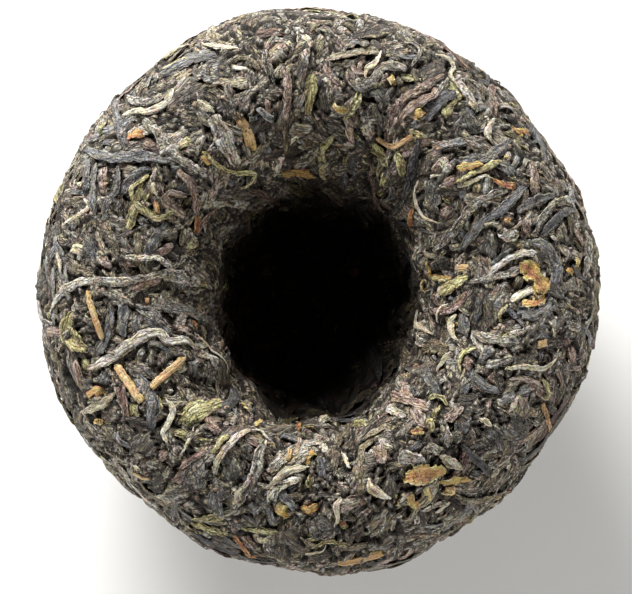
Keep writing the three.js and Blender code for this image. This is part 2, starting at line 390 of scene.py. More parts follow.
class SeenFace:
    """The part of the nest that the photograph shows, to find what lies under a pixel."""

    STRETCH = (1.7, 4.3)  # along, from the side over the face to the throat
    NET = (360, 900)  # places along the profile and round it
    LEAST_FACING = 0.05  # cosine of the steepest slant to the camera that is kept

    def __init__(self, form: NestForm, camera: PhotoCamera) -> None:
        """Lays a fine net over the side, face and lip, and keeps what faces the camera.

        Args:
            form: the nest's form.
            camera: the photograph's camera.
        """
        places = np.linspace(*self.STRETCH, self.NET[0])
        bearings = np.linspace(-math.pi, math.pi, self.NET[1])
        along, angle = np.meshgrid(places, bearings, indexing="ij")
        patch = form.patch(along, angle)
        seen = dot(patch.out, camera.back()) > self.LEAST_FACING
        self.along, self.angle = along[seen], angle[seen]
        pixels = camera.pixel_of(patch.point[seen])
        self.tree = KDTree(len(pixels))
        for number, (x, y) in enumerate(pixels):
            self.tree.insert((x, y, 0.0), number)
        self.tree.balance()

    def under(self, pixels: Array) -> tuple[Array, Array]:
        """The places on the nest that show nearest to some pixels.

        Args:
            pixels: an array of x and y.

        Returns:
            along and angle of each.
        """
        nearest = [self.tree.find((x, y, 0.0))[1] for x, y in pixels]
        return self.along[nearest], self.angle[nearest]


# ---------- Kinds of leaf ----------


class Kind(Enum):
    """What a leaf strip is. Each kind is one piece of the scene."""

    CHARCOAL = "charcoal_leaves"
    PEAT = "peat_leaves"
    SLATE = "slate_leaves"
    OLIVE = "olive_leaves"
    UMBER = "umber_leaves"
    BUD = "silver_buds"
    STEM = "tan_stems"
    BROAD = "folded_leaves"
    SHEET = "crumpled_leaves"
    FLAKE = "amber_flakes"
    CRUMB = "leaf_crumbs"


@dataclass(frozen=True)
class Cut:
    """How a kind's section and ends are shaped: depths of creases and laps are shares of half its width."""

    flatness: float  # thickness over width
    creases: tuple[int, int]  # least and most sharp creases round its section
    crease_depth: float
    lap_depth: float  # of the two laps of a rolled leaf
    taper: float  # share of its length over which each end narrows
    tip: float  # width of its ends over its full width
    twist: float  # most turn of its section, radians a millimetre
    crinkle: float = 0.0  # height of the crinkles that cross it, in millimetres
    uneven: float = 0.16  # how much its width comes and goes


CUTS = {
    Kind.CHARCOAL: Cut(0.28, (4, 7), 0.3, 0.08, 0.3, 0.45, 0.3, 0.07, 0.1),
    Kind.PEAT: Cut(0.27, (5, 8), 0.34, 0.08, 0.3, 0.45, 0.3, 0.13, 0.17),
    Kind.SLATE: Cut(0.28, (4, 8), 0.32, 0.08, 0.3, 0.45, 0.3, 0.09, 0.12),
    Kind.OLIVE: Cut(0.26, (4, 7), 0.3, 0.1, 0.35, 0.35, 0.4, 0.08, 0.12),
    Kind.UMBER: Cut(0.28, (4, 7), 0.32, 0.08, 0.3, 0.45, 0.35, 0.09, 0.12),
    Kind.BUD: Cut(0.36, (2, 5), 0.24, 0.06, 0.5, 0.15, 0.15, 0.03, 0.1),
    Kind.STEM: Cut(0.6, (4, 6), 0.1, 0.03, 0.04, 0.85, 0.05, uneven=0.03),
    Kind.BROAD: Cut(0.16, (8, 14), 0.16, 0.03, 0.3, 0.5, 0.12, 0.45, 0.2),
    Kind.SHEET: Cut(0.16, (6, 10), 0.16, 0.03, 0.3, 0.5, 0.12, 0.45, 0.2),
    Kind.FLAKE: Cut(0.16, (2, 4), 0.12, 0.06, 0.2, 0.6, 0.1, 0.15, 0.22),
    Kind.CRUMB: Cut(0.3, (2, 4), 0.2, 0.1, 0.3, 0.55, 0.5, 0.12, 0.25),
}
KINDS = list(Kind)


@dataclass(frozen=True)
class Shown:
    """One leaf that the photograph shows clearly."""

    kind: Kind
    width: float  # millimetres
    shade: float  # from 0, the darkest of its kind, to 1, the palest
    line: list[Pixel]  # the pixels that it runs through


C, P, S, O, U = Kind.CHARCOAL, Kind.PEAT, Kind.SLATE, Kind.OLIVE, Kind.UMBER
B, T, L, F = Kind.BUD, Kind.STEM, Kind.BROAD, Kind.FLAKE

# The leaves that stand out, each by its kind, width, shade and then the pixels of its line.
UPPER_LEFT = (
    (C, 1.8, 0.6, (80, 147), (100, 154), (118, 157), (140, 155), (170, 161)),
    (S, 1.5, 0.6, (143, 119), (159, 134), (172, 152), (187, 164), (200, 171)),
    (B, 1.2, 0.3, (121, 115), (131, 111), (149, 110), (162, 105), (170, 97), (171, 87)),
    (S, 1.1, 0.75, (125, 95), (136, 101), (152, 100), (165, 92)),
    (C, 1.4, 0.5, (116, 93), (115, 111), (120, 132), (126, 149)),
    (F, 1.5, 0.15, (125, 133), (143, 133)),
    (O, 0.8, 0.9, (98, 134), (100, 128), (105, 121)),
    (B, 1.2, 0.6, (198, 99), (206, 106), (214, 112)),
    (S, 2.7, 0.95, (213, 116), (223, 136), (230, 151), (238, 166)),
    (O, 0.8, 0.8, (203, 152), (223, 169), (238, 174), (255, 174), (251, 183), (238, 192)),
    (F, 1.2, 0.3, (203, 153), (213, 163)),
    (O, 1.0, 0.9, (149, 175), (135, 184), (131, 192), (136, 204), (152, 216), (166, 217), (174, 209)),
    (B, 0.8, 0.55, (157, 166), (152, 179), (154, 190), (158, 198)),
    (U, 1.2, 0.7, (178, 170), (190, 183), (196, 199), (198, 215)),
    (F, 1.0, 0.05, (198, 213), (198, 232)),
    (U, 0.9, 0.9, (161, 201), (172, 193), (187, 198)),
    (C, 1.2, 0.4, (87, 159), (84, 193)),
    (C, 1.2, 0.7, (94, 159), (92, 190), (93, 219)),
    (U, 1.5, 0.8, (102, 166), (103, 193)),
    (C, 1.1, 0.6, (117, 166), (116, 187), (108, 199), (104, 219)),
    (C, 1.5, 0.45, (152, 168), (136, 175), (124, 187), (118, 198)),
    (B, 0.7, 0.5, (80, 193), (87, 207), (75, 217), (60, 224)),
    (B, 0.9, 0.35, (149, 68), (175, 49), (194, 42)),
    (B, 0.8, 0.6, (200, 42), (213, 45), (241, 48)),
    (O, 0.7, 0.9, (162, 68), (175, 62), (187, 55)),
    (C, 1.9, 0.65, (159, 74), (187, 60), (216, 53)),
    (L, 3.0, 0.8, (192, 70), (210, 72), (229, 68)),
    (L, 2.2, 0.2, (181, 92), (183, 113)),
    (B, 1.0, 0.5, (55, 252), (59, 262), (60, 275)),
    (U, 1.3, 0.8, (97, 256), (111, 266)),
    (S, 1.3, 0.85, (48, 318), (51, 306), (59, 294), (72, 285), (91, 280), (116, 282), (136, 279),
     (167, 273)),
    (S, 1.9, 0.9, (160, 274), (180, 277), (202, 285)),
    (S, 1.0, 0.95, (125, 255), (137, 259), (155, 257), (167, 264), (178, 268)),
    (U, 1.2, 0.75, (128, 291), (142, 286), (157, 282), (172, 281)),
    (F, 0.5, 0.95, (97, 253), (101, 262), (110, 266)),
    (C, 2.4, 0.45, (84, 238), (90, 250), (94, 264)),
    (P, 1.6, 0.4, (70, 262), (80, 270), (92, 272)),
    (F, 1.3, 0.25, (284, 175), (300, 173), (315, 179)),
    (U, 1.2, 0.7, (284, 66), (288, 92), (286, 121)),
    (B, 1.0, 0.5, (302, 34), (308, 40), (312, 46)),
)
UPPER_RIGHT = (
    (B, 1.1, 0.85, (381, 50), (377, 60), (367, 68), (366, 78)),
    (S, 1.5, 0.45, (348, 73), (355, 83), (364, 86), (375, 78), (381, 68), (394, 65), (406, 69)),
    (F, 1.3, 0.95, (387, 73), (394, 84)),
    (U, 1.5, 0.45, (445, 74), (426, 86), (406, 97), (395, 112), (386, 142)),
    (O, 0.9, 0.7, (419, 84), (432, 79), (445, 72)),
    (U, 1.3, 0.6, (442, 79), (432, 95), (413, 105), (401, 116), (391, 139)),
    (F, 1.6, 0.6, (411, 113), (423, 110)),
    (C, 1.8, 0.15, (456, 91), (442, 98), (430, 111), (413, 126)),
    (B, 0.7, 0.5, (436, 53), (449, 58), (454, 67), (451, 76), (460, 86)),
    (S, 1.3, 0.95, (461, 80), (469, 95), (478, 111)),
    (O, 1.8, 0.65, (447, 118), (448, 105), (462, 92)),
    (L, 2.2, 0.35, (465, 107), (473, 132)),
    (O, 1.2, 0.6, (361, 88), (354, 107), (344, 121)),
    (F, 0.9, 0.9, (332, 103), (341, 111), (353, 110)),
    (L, 2.8, 0.25, (368, 86), (380, 93), (391, 105)),
    (O, 2.1, 0.85, (373, 146), (380, 155), (386, 166)),
    (T, 0.8, 0.4, (377, 140), (391, 147), (412, 137)),
    (O, 1.2, 0.9, (394, 152), (401, 165), (404, 180)),
    (C, 1.5, 0.25, (419, 142), (414, 161), (406, 188), (399, 207)),
    (O, 1.1, 0.7, (409, 131), (427, 138)),
    (F, 1.1, 0.5, (457, 168), (483, 163)),
    (O, 1.0, 0.98, (456, 183), (477, 171), (502, 160)),
    (U, 1.2, 0.6, (442, 184), (458, 179)),
    (B, 0.7, 0.8, (438, 187), (464, 185), (483, 176), (494, 178)),
    (F, 0.9, 0.02, (494, 179), (506, 185), (516, 187)),
    (S, 1.3, 0.6, (508, 189), (492, 195), (476, 204), (464, 216), (455, 230), (442, 243), (432, 251)),
    (C, 1.3, 0.55, (528, 182), (512, 200), (497, 213), (482, 223), (471, 236), (460, 249)),
    (B, 0.6, 0.4, (417, 180), (414, 197), (422, 216), (440, 224)),
    (L, 3.4, 0.4, (432, 182), (430, 212)),
    (B, 0.4, 0.9, (420, 185), (432, 176), (442, 175)),
    (S, 1.5, 0.98, (441, 158), (449, 171)),
    (C, 1.8, 0.6, (459, 160), (489, 157), (511, 139)),
    (C, 1.3, 0.75, (438, 144), (458, 142), (480, 137)),
    (B, 1.1, 0.55, (496, 116), (488, 131), (493, 142)),
    (F, 0.9, 0.1, (408, 229), (412, 207)),
    (F, 0.7, 0.02, (505, 219), (511, 221)),
    (F, 0.8, 0.12, (513, 128), (530, 133)),
    (C, 1.4, 0.5, (518, 212), (538, 199), (556, 195)),
)
MIDDLE_LEFT = (
    (T, 0.95, 0.75, (86, 292), (91, 308), (97, 325), (101, 340)),
    (S, 1.0, 0.9, (82, 316), (90, 322), (99, 324)),
    (S, 1.7, 0.75, (87, 369), (111, 358), (129, 345), (148, 333), (161, 332), (168, 340), (187, 340),
     (199, 347)),
    (T, 1.2, 0.75, (115, 364), (128, 383), (141, 402)),
    (T, 1.1, 0.55, (151, 386), (170, 371), (181, 361), (187, 350)),
    (O, 2.6, 0.8, (71, 314), (65, 330), (75, 344), (84, 350)),
    (C, 1.6, 0.5, (112, 306), (108, 326), (101, 345), (96, 355)),
    (C, 1.6, 0.6, (124, 302), (123, 318), (122, 335)),
    (C, 1.3, 0.55, (138, 315), (136, 325), (138, 336)),
    (O, 1.2, 0.7, (121, 298), (121, 310), (120, 321)),
    (C, 2.4, 0.5, (137, 307), (155, 319), (171, 335)),
    (T, 0.6, 0.1, (148, 296), (148, 309)),
    (L, 2.6, 0.3, (156, 300), (178, 307), (203, 313)),
    (B, 0.5, 0.5, (178, 302), (190, 309)),
    (U, 1.2, 0.6, (165, 322), (180, 328), (194, 331)),
    (F, 0.5, 0.05, (193, 319), (198, 328)),
    (B, 0.6, 0.3, (196, 332), (212, 349), (227, 363), (227, 381)),
    (L, 1.7, 0.7, (129, 368), (142, 370), (155, 373)),
    (U, 1.5, 0.5, (111, 370), (117, 383), (122, 400), (126, 419)),
    (B, 1.7, 0.25, (78, 414), (91, 409), (104, 402), (113, 393)),
    (F, 1.2, 0.1, (84, 397), (93, 391), (103, 394)),
    (C, 2.0, 0.3, (106, 367), (100, 386)),
    (C, 2.2, 0.45, (130, 371), (146, 389), (152, 409), (151, 430)),
    (O, 0.8, 0.9, (156, 393), (160, 406), (158, 419)),
    (C, 1.7, 0.45, (193, 357), (194, 375)),
    (S, 0.8, 0.8, (199, 355), (211, 358), (216, 370)),
    (O, 1.5, 0.9, (60, 337), (74, 345), (87, 352)),
    (F, 1.0, 0.8, (94, 420), (101, 424)),
)
LOWER_LEFT = (
    (O, 3.0, 0.75, (184, 425), (195, 411), (222, 400)),
    (B, 1.0, 0.3, (166, 398), (173, 410), (169, 422), (163, 434), (169, 446)),
    (B, 1.1, 0.8, (132, 467), (139, 470)),
    (S, 1.1, 0.95, (214, 474), (217, 461), (228, 446), (241, 433), (251, 429), (262, 430), (268, 437)),
    (S, 1.5, 0.6, (266, 438), (260, 453), (256, 470), (249, 484), (240, 496), (234, 510)),
    (O, 0.9, 0.95, (212, 460), (216, 447), (223, 438), (232, 432)),
    (L, 3.0, 0.45, (229, 452), (231, 465), (234, 481)),
    (L, 2.0, 0.55, (247, 443), (249, 459)),
    (C, 1.3, 0.5, (240, 478), (250, 474), (253, 462)),
    (L, 3.2, 0.6, (202, 458), (195, 474), (188, 491)),
    (U, 1.1, 0.6, (180, 469), (188, 461), (199, 454), (211, 447)),
    (B, 0.5, 0.3, (180, 455), (188, 442), (194, 425)),
    (C, 2.2, 0.4, (212, 482), (217, 489), (214, 502), (218, 517)),
    (F, 0.8, 0.85, (219, 476), (223, 487)),
    (S, 1.6, 0.9, (231, 489), (241, 495)),
    (O, 1.5, 0.6, (193, 522), (206, 520), (225, 520)),
    (O, 1.6, 0.5, (190, 525), (205, 530), (228, 535)),
    (O, 0.6, 0.95, (180, 522), (190, 529), (202, 536)),
    (O, 0.9, 0.8, (241, 530), (256, 531), (277, 533)),
    (B, 0.9, 0.5, (256, 537), (262, 541), (270, 537)),
    (F, 0.9, 0.1, (235, 538), (243, 549), (250, 557), (257, 558)),
    (U, 1.6, 0.4, (244, 538), (254, 550)),
    (B, 1.1, 0.35, (260, 485), (269, 487), (279, 477), (288, 471), (309, 466)),
    (S, 1.1, 0.9, (269, 504), (271, 494), (280, 487), (288, 482), (300, 480), (299, 487)),
    (C, 1.3, 0.6, (278, 490), (287, 500), (297, 511)),
    (F, 1.8, 0.8, (276, 504), (282, 511), (291, 512)),
    (C, 1.2, 0.7, (262, 505), (268, 512), (274, 526)),
    (C, 1.6, 0.45, (249, 512), (259, 505), (269, 492)),
    (B, 1.0, 0.35, (153, 497), (165, 499), (175, 503)),
    (F, 0.9, 0.7, (244, 402), (249, 410)),
    (F, 0.6, 0.85, (262, 419), (256, 424)),
    (S, 0.9, 0.8, (231, 423), (239, 414)),
)
BOTTOM = (
    (F, 1.1, 0.22, (297, 513), (308, 510), (318, 506)),
    (F, 1.1, 0.85, (315, 499), (323, 505)),
    (O, 1.0, 0.8, (311, 476), (308, 487)),
    (F, 1.3, 0.45, (305, 461), (310, 453), (317, 451)),
    (B, 0.7, 0.5, (343, 451), (346, 460), (350, 468)),
    (B, 0.9, 0.4, (341, 497), (336, 507), (338, 519), (334, 528)),
    (F, 0.7, 0.05, (340, 526), (345, 522)),
    (L, 3.2, 0.35, (312, 522), (324, 530), (338, 536)),
    (O, 0.9, 0.85, (313, 547), (327, 545), (348, 545)),
    (B, 0.6, 0.4, (302, 555), (318, 553), (328, 549)),
    (F, 0.6, 0.1, (298, 422), (299, 429)),
    (F, 0.9, 0.25, (305, 426), (316, 427)),
    (T, 0.7, 0.1, (290, 448), (288, 460)),
    (U, 0.7, 0.9, (297, 450), (301, 436)),
    (B, 0.9, 0.2, (323, 442), (327, 455)),
    (B, 1.5, 0.5, (369, 478), (371, 488), (380, 494), (391, 499)),
)
MIDDLE_RIGHT = (
    (S, 1.1, 0.85, (489, 273), (502, 263), (517, 255), (533, 253), (541, 259)),
    (C, 1.2, 0.5, (488, 268), (502, 257), (515, 250)),
    (F, 0.6, 0.8, (502, 251), (511, 248), (521, 245)),
    (F, 2.4, 0.5, (521, 266), (532, 271), (541, 282), (546, 292)),
    (F, 1.4, 0.62, (522, 302), (533, 303), (546, 295)),
    (F, 1.0, 0.3, (533, 275), (537, 290), (533, 301)),
    (C, 1.6, 0.6, (525, 242), (543, 244), (553, 256), (558, 269), (557, 288), (564, 297)),
    (L, 3.0, 0.45, (487, 232), (488, 245), (484, 258)),
    (C, 1.6, 0.3, (458, 232), (466, 243)),
    (B, 0.6, 0.3, (450, 246), (465, 246)),
    (S, 1.3, 0.55, (535, 235), (542, 221), (553, 205), (567, 200), (576, 205)),
    (C, 1.3, 0.5, (544, 235), (553, 223), (566, 212), (578, 209)),
    (B, 0.6, 0.5, (552, 235), (558, 241)),
    (S, 1.5, 0.7, (498, 231), (509, 236), (520, 233)),
    (P, 1.0, 0.4, (496, 226), (508, 224), (517, 227)),
    (U, 1.4, 0.5, (528, 213), (526, 226), (531, 236)),
    (O, 2.2, 0.7, (438, 292), (452, 284), (466, 276)),
    (F, 0.8, 0.7, (425, 262), (432, 277), (448, 278)),
    (F, 0.6, 0.8, (421, 280), (422, 292)),
    (L, 2.6, 0.1, (437, 258), (443, 270)),
    (B, 0.5, 0.6, (437, 324), (436, 315), (441, 306), (447, 304)),
    (B, 1.2, 0.75, (455, 314), (450, 322), (451, 332), (455, 340)),
    (C, 1.6, 0.5, (460, 314), (464, 327), (466, 336)),
    (S, 1.6, 0.5, (469, 330), (479, 335), (489, 339), (505, 341), (519, 341)),
    (O, 1.2, 0.7, (482, 332), (497, 337), (507, 332)),
    (U, 1.4, 0.9, (497, 332), (502, 324)),
    (O, 0.6, 0.9, (499, 324), (501, 313), (508, 302)),
    (S, 1.0, 0.9, (508, 334), (521, 332), (534, 325)),
    (C, 2.2, 0.55, (519, 310), (534, 313), (547, 308), (554, 299)),
    (S, 2.0, 0.8, (548, 312), (556, 322), (560, 334)),
    (C, 1.8, 0.45, (527, 341), (540, 332), (554, 333), (558, 342)),
    (T, 1.0, 0.95, (535, 346), (548, 342)),
    (B, 0.9, 0.6, (505, 369), (525, 367), (543, 369), (556, 360), (560, 349)),
    (O, 0.7, 0.95, (460, 371), (459, 361), (464, 352), (475, 347)),
    (U, 1.6, 0.3, (463, 360), (471, 367)),
    (C, 1.5, 0.4, (479, 362), (484, 355), (494, 347)),
    (S, 1.3, 0.45, (482, 364), (498, 363), (515, 358)),
    (P, 2.0, 0.4, (420, 352), (432, 346), (446, 350)),
    (S, 1.4, 0.8, (414, 337), (421, 344)),
    (O, 2.2, 0.75, (443, 190), (452, 197)),
    (U, 2.2, 0.6, (431, 214), (445, 211), (455, 203)),
    (S, 1.6, 0.55, (588, 231), (591, 251), (586, 276)),
    (U, 1.0, 0.7, (576, 228), (584, 244)),
    (F, 0.8, 0.1, (568, 268), (574, 274)),
    (F, 0.6, 0.95, (577, 258), (579, 266)),
    (S, 2.2, 0.6, (569, 280), (572, 292)),
    (S, 1.4, 0.7, (568, 322), (576, 327), (582, 324)),
    (C, 1.6, 0.4, (566, 335), (578, 333), (588, 334)),
    (U, 1.8, 0.8, (571, 348), (575, 362)),
)
LOWER_RIGHT = (
    (F, 2.4, 0.55, (403, 479), (424, 475), (446, 471)),
    (S, 2.1, 0.98, (399, 458), (412, 458), (425, 465)),
    (F, 1.0, 0.7, (439, 484), (455, 481), (471, 480)),
    (F, 1.0, 0.75, (407, 494), (417, 509)),
    (F, 0.9, 0.85, (427, 488), (431, 501)),
    (T, 1.3, 0.95, (445, 492), (455, 492)),
    (B, 1.7, 0.15, (441, 456), (452, 464), (463, 470)),
    (U, 1.6, 0.9, (447, 420), (454, 413), (461, 406)),
    (B, 1.1, 0.6, (479, 418), (493, 426)),
    (B, 0.8, 0.5, (509, 412), (520, 396)),
    (F, 0.9, 0.4, (411, 431), (423, 431)),
    (T, 0.7, 0.1, (544, 404), (548, 418), (552, 432)),
    (S, 1.5, 0.9, (386, 405), (394, 410), (404, 416)),
    (C, 2.0, 0.55, (468, 414), (462, 424), (465, 434)),
    (L, 3.6, 0.4, (484, 430), (496, 440), (500, 452)),
    (L, 3.4, 0.35, (506, 424), (520, 432), (532, 428)),
    (S, 1.4, 0.6, (426, 444), (440, 452), (452, 458)),
    (U, 1.9, 0.75, (378, 444), (381, 455), (378, 462)),
    (O, 0.9, 0.8, (428, 397), (440, 396), (448, 405)),
    (S, 1.3, 0.5, (441, 416), (446, 430), (450, 446)),
    (O, 1.0, 0.7, (432, 432), (430, 418), (440, 405)),
    (P, 1.4, 0.5, (455, 497), (475, 503), (498, 497), (512, 487)),
    (O, 0.8, 0.85, (544, 378), (549, 393), (545, 400)),
    (S, 1.2, 0.7, (493, 478), (500, 468), (510, 459)),
    (B, 0.8, 0.3, (508, 470), (511, 463)),
    (C, 1.6, 0.5, (500, 402), (514, 396), (530, 389)),
)
SHOWN = tuple(
    Shown(kind, width, shade, line)
    for region in (
        UPPER_LEFT, UPPER_RIGHT, MIDDLE_LEFT, MIDDLE_RIGHT, LOWER_LEFT, BOTTOM, LOWER_RIGHT,
    )
    for kind, width, shade, *line in region
)


# ---------- Laying the leaves ----------


STATIONS = 33  # places along each strip while it is laid


@dataclass
class Strips:
    """Leaf strips, one row each, with their places and depths at each station."""

    kind: Array  # its number in KINDS
    width: Array
    length: Array
    shade: Array
    along: Array
    angle: Array
    base: Array  # how deep its top lies at least
    tips: Array  # how much deeper each of its ends dives
    depth: Array | None = None  # how deep its top lies, once it is laid

    def chosen(self, rows: Array) -> "Strips":
        """The strips of some rows."""
        kept = {name: None if value is None else value[rows] for name, value in vars(self).items()}
        return Strips(**kept)


@dataclass(frozen=True)
class Lot:
    """A lot of strips that are drawn alike: where they lie, their sizes and how many of each kind."""

    count: int
    begin: float  # along
    end: float
    length: tuple[float, float]
    width: tuple[float, float]
    shares: dict
    base: tuple[float, float] = (0.0, 0.4)
    bend: float = 0.12  # radians a millimetre
    wander: float = 0.22
    heading: tuple[float, float] = (0.0, math.pi / 2)  # middle and spread, down the profile at 0
    tries: int = 1  # headings tried at each place, of which the one with most room is taken
    in_gaps: bool = False  # drawn where nothing lies yet
    least_seen: float = 0.12  # the least share of free cells for a strip to be laid


class Spread:
    """Draws the strips of a lot at random places, evenly by area."""

    LENGTHS = (1.6, 2.4)  # the beta law of lengths between a lot's limits: more short ones
    WIDTHS = (2.0, 2.4)
    SWAY = (0.3, 1.0)  # shares of the lot's wander
    WAVE = (4.0, 11.0)  # millimetres from one wander to that side to the next
    TIPS = (0.1, 0.9)  # millimetres

    def __init__(self, form: NestForm, random: np.random.Generator) -> None:
        """Keeps the form and the random numbers.

        Args:
            form: the nest's form.
            random: seeded random numbers.
        """
        self.form, self.random = form, random

    def between(self, limits: tuple[float, float], count: int) -> Array:
        """Random numbers between two limits."""
        return self.random.uniform(limits[0], limits[1], count)

    def draw(self, lot: Lot, layers: "Layers") -> Strips:
        """Draws one lot.

        A strip's line turns evenly by its bend, and to and fro by its wander, a sine with a
        random wave length and phase. Its place is a cell's, so places are even by area.

        Args:
            lot: what to draw.
            layers: the cells, and what covers them.

        Returns:
            The strips, not yet laid: for each place as many in a row as headings are tried.
        """
        random = self.random
        cells = layers.cells_within(lot)
        cells = random.choice(cells, min(lot.count, len(cells)), replace=False)
        n = len(cells) * lot.tries
        along = np.repeat(layers.cell_along[cells], lot.tries)
        angle = np.repeat(layers.cell_angle[cells], lot.tries)
        length = lot.length[0] + (lot.length[1] - lot.length[0]) * random.beta(*self.LENGTHS, n)
        width = lot.width[0] + (lot.width[1] - lot.width[0]) * random.beta(*self.WIDTHS, n)
        heading = lot.heading[0] + random.uniform(-1, 1, n) * lot.heading[1]
        stride = length / (STATIONS - 1)
        bend = self.between((-lot.bend, lot.bend), n)
        sway = self.between(self.SWAY, n) * lot.wander
        wave = self.between(self.WAVE, n)
        steps = np.arange(STATIONS - 1)[None, :] * stride[:, None]
        phase = self.between((0, 2 * math.pi), n)[:, None]
        swings = sway[:, None] * np.sin(2 * math.pi * steps / wave[:, None] + phase)
        turns = (bend[:, None] + swings) * stride[:, None]
        back, forth = -turns[:, : STATIONS // 2], turns[:, STATIONS // 2 :]
        begin_along, begin_angle = self.form.walk(along, angle, heading + math.pi, back, stride)
        ahead_along, ahead_angle = self.form.walk(along, angle, heading, forth, stride)
        along = np.concatenate([begin_along[:, :0:-1], ahead_along], axis=1)
        angle = np.concatenate([begin_angle[:, :0:-1], ahead_angle], axis=1)
        share = np.array(list(lot.shares.values()), float)
        picked = random.choice(len(share), n, p=share / share.sum())
        codes = np.array([KINDS.index(kind) for kind in lot.shares])
        return Strips(
            codes[picked], width, length, random.uniform(0, 1, n), along, angle,
            self.between(lot.base, n), self.between(self.TIPS, 2 * n).reshape(n, 2),
        )


class ShownLeaves:
    """The leaves that the photograph shows clearly, found on the nest under their pixels."""

    BASE = -0.1  # millimetres: they stand a little out of the form
    TIPS = 0.25

    def __init__(self, face: SeenFace, form: NestForm) -> None:
        """Keeps where to look them up.

        Args:
            face: finds the places under pixels.
            form: the nest's form.
        """
        self.face, self.form = face, form

    @staticmethod
    def smooth_line(line: list[Pixel], count: int) -> Array:
        """A smooth line through some points: each coordinate goes by a Catmull-Rom curve of the run.

        Args:
            line: the points.
            count: how many points the smooth line has.

        Returns:
            Its points, evenly spread over the run.
        """
        p = np.array(line, float)
        p = np.vstack([2 * p[0] - p[1], p, 2 * p[-1] - p[-2]])
        run = np.linalg.norm(np.diff(p[1:-1], axis=0), axis=1)
        ends = np.concatenate([[0.0], np.cumsum(run)])
        wanted = np.linspace(0, ends[-1], count)
        k = np.clip(np.searchsorted(ends, wanted, side="right") - 1, 0, len(run) - 1)
        t = ((wanted - ends[k]) / run[k])[:, None]
        a, b, c, d = p[k], p[k + 1], p[k + 2], p[k + 3]
        square, cube = 2 * a - 5 * b + 4 * c - d, 3 * b - a - 3 * c + d
        return 0.5 * (2 * b + (c - a) * t + square * t**2 + cube * t**3)

    def draw(self, shown: tuple[Shown, ...]) -> Strips:
        """Places them.

        Args:
            shown: the leaves.

        Returns:
            The strips, not yet laid.
        """
        lines = np.stack([self.smooth_line(s.line, STATIONS) for s in shown])
        along, angle = self.face.under(lines.reshape(-1, 2))
        along, angle = along.reshape(len(shown), STATIONS), angle.reshape(len(shown), STATIONS)
        points = self.form.place(along, angle)
        length = np.linalg.norm(np.diff(points, axis=1), axis=2).sum(axis=1)
        n = len(shown)
        return Strips(
            np.array([KINDS.index(s.kind) for s in shown]), np.array([s.width for s in shown]), length,
            np.array([s.shade for s in shown]), along, angle,
            np.full(n, self.BASE), np.full((n, 2), self.TIPS),
        )


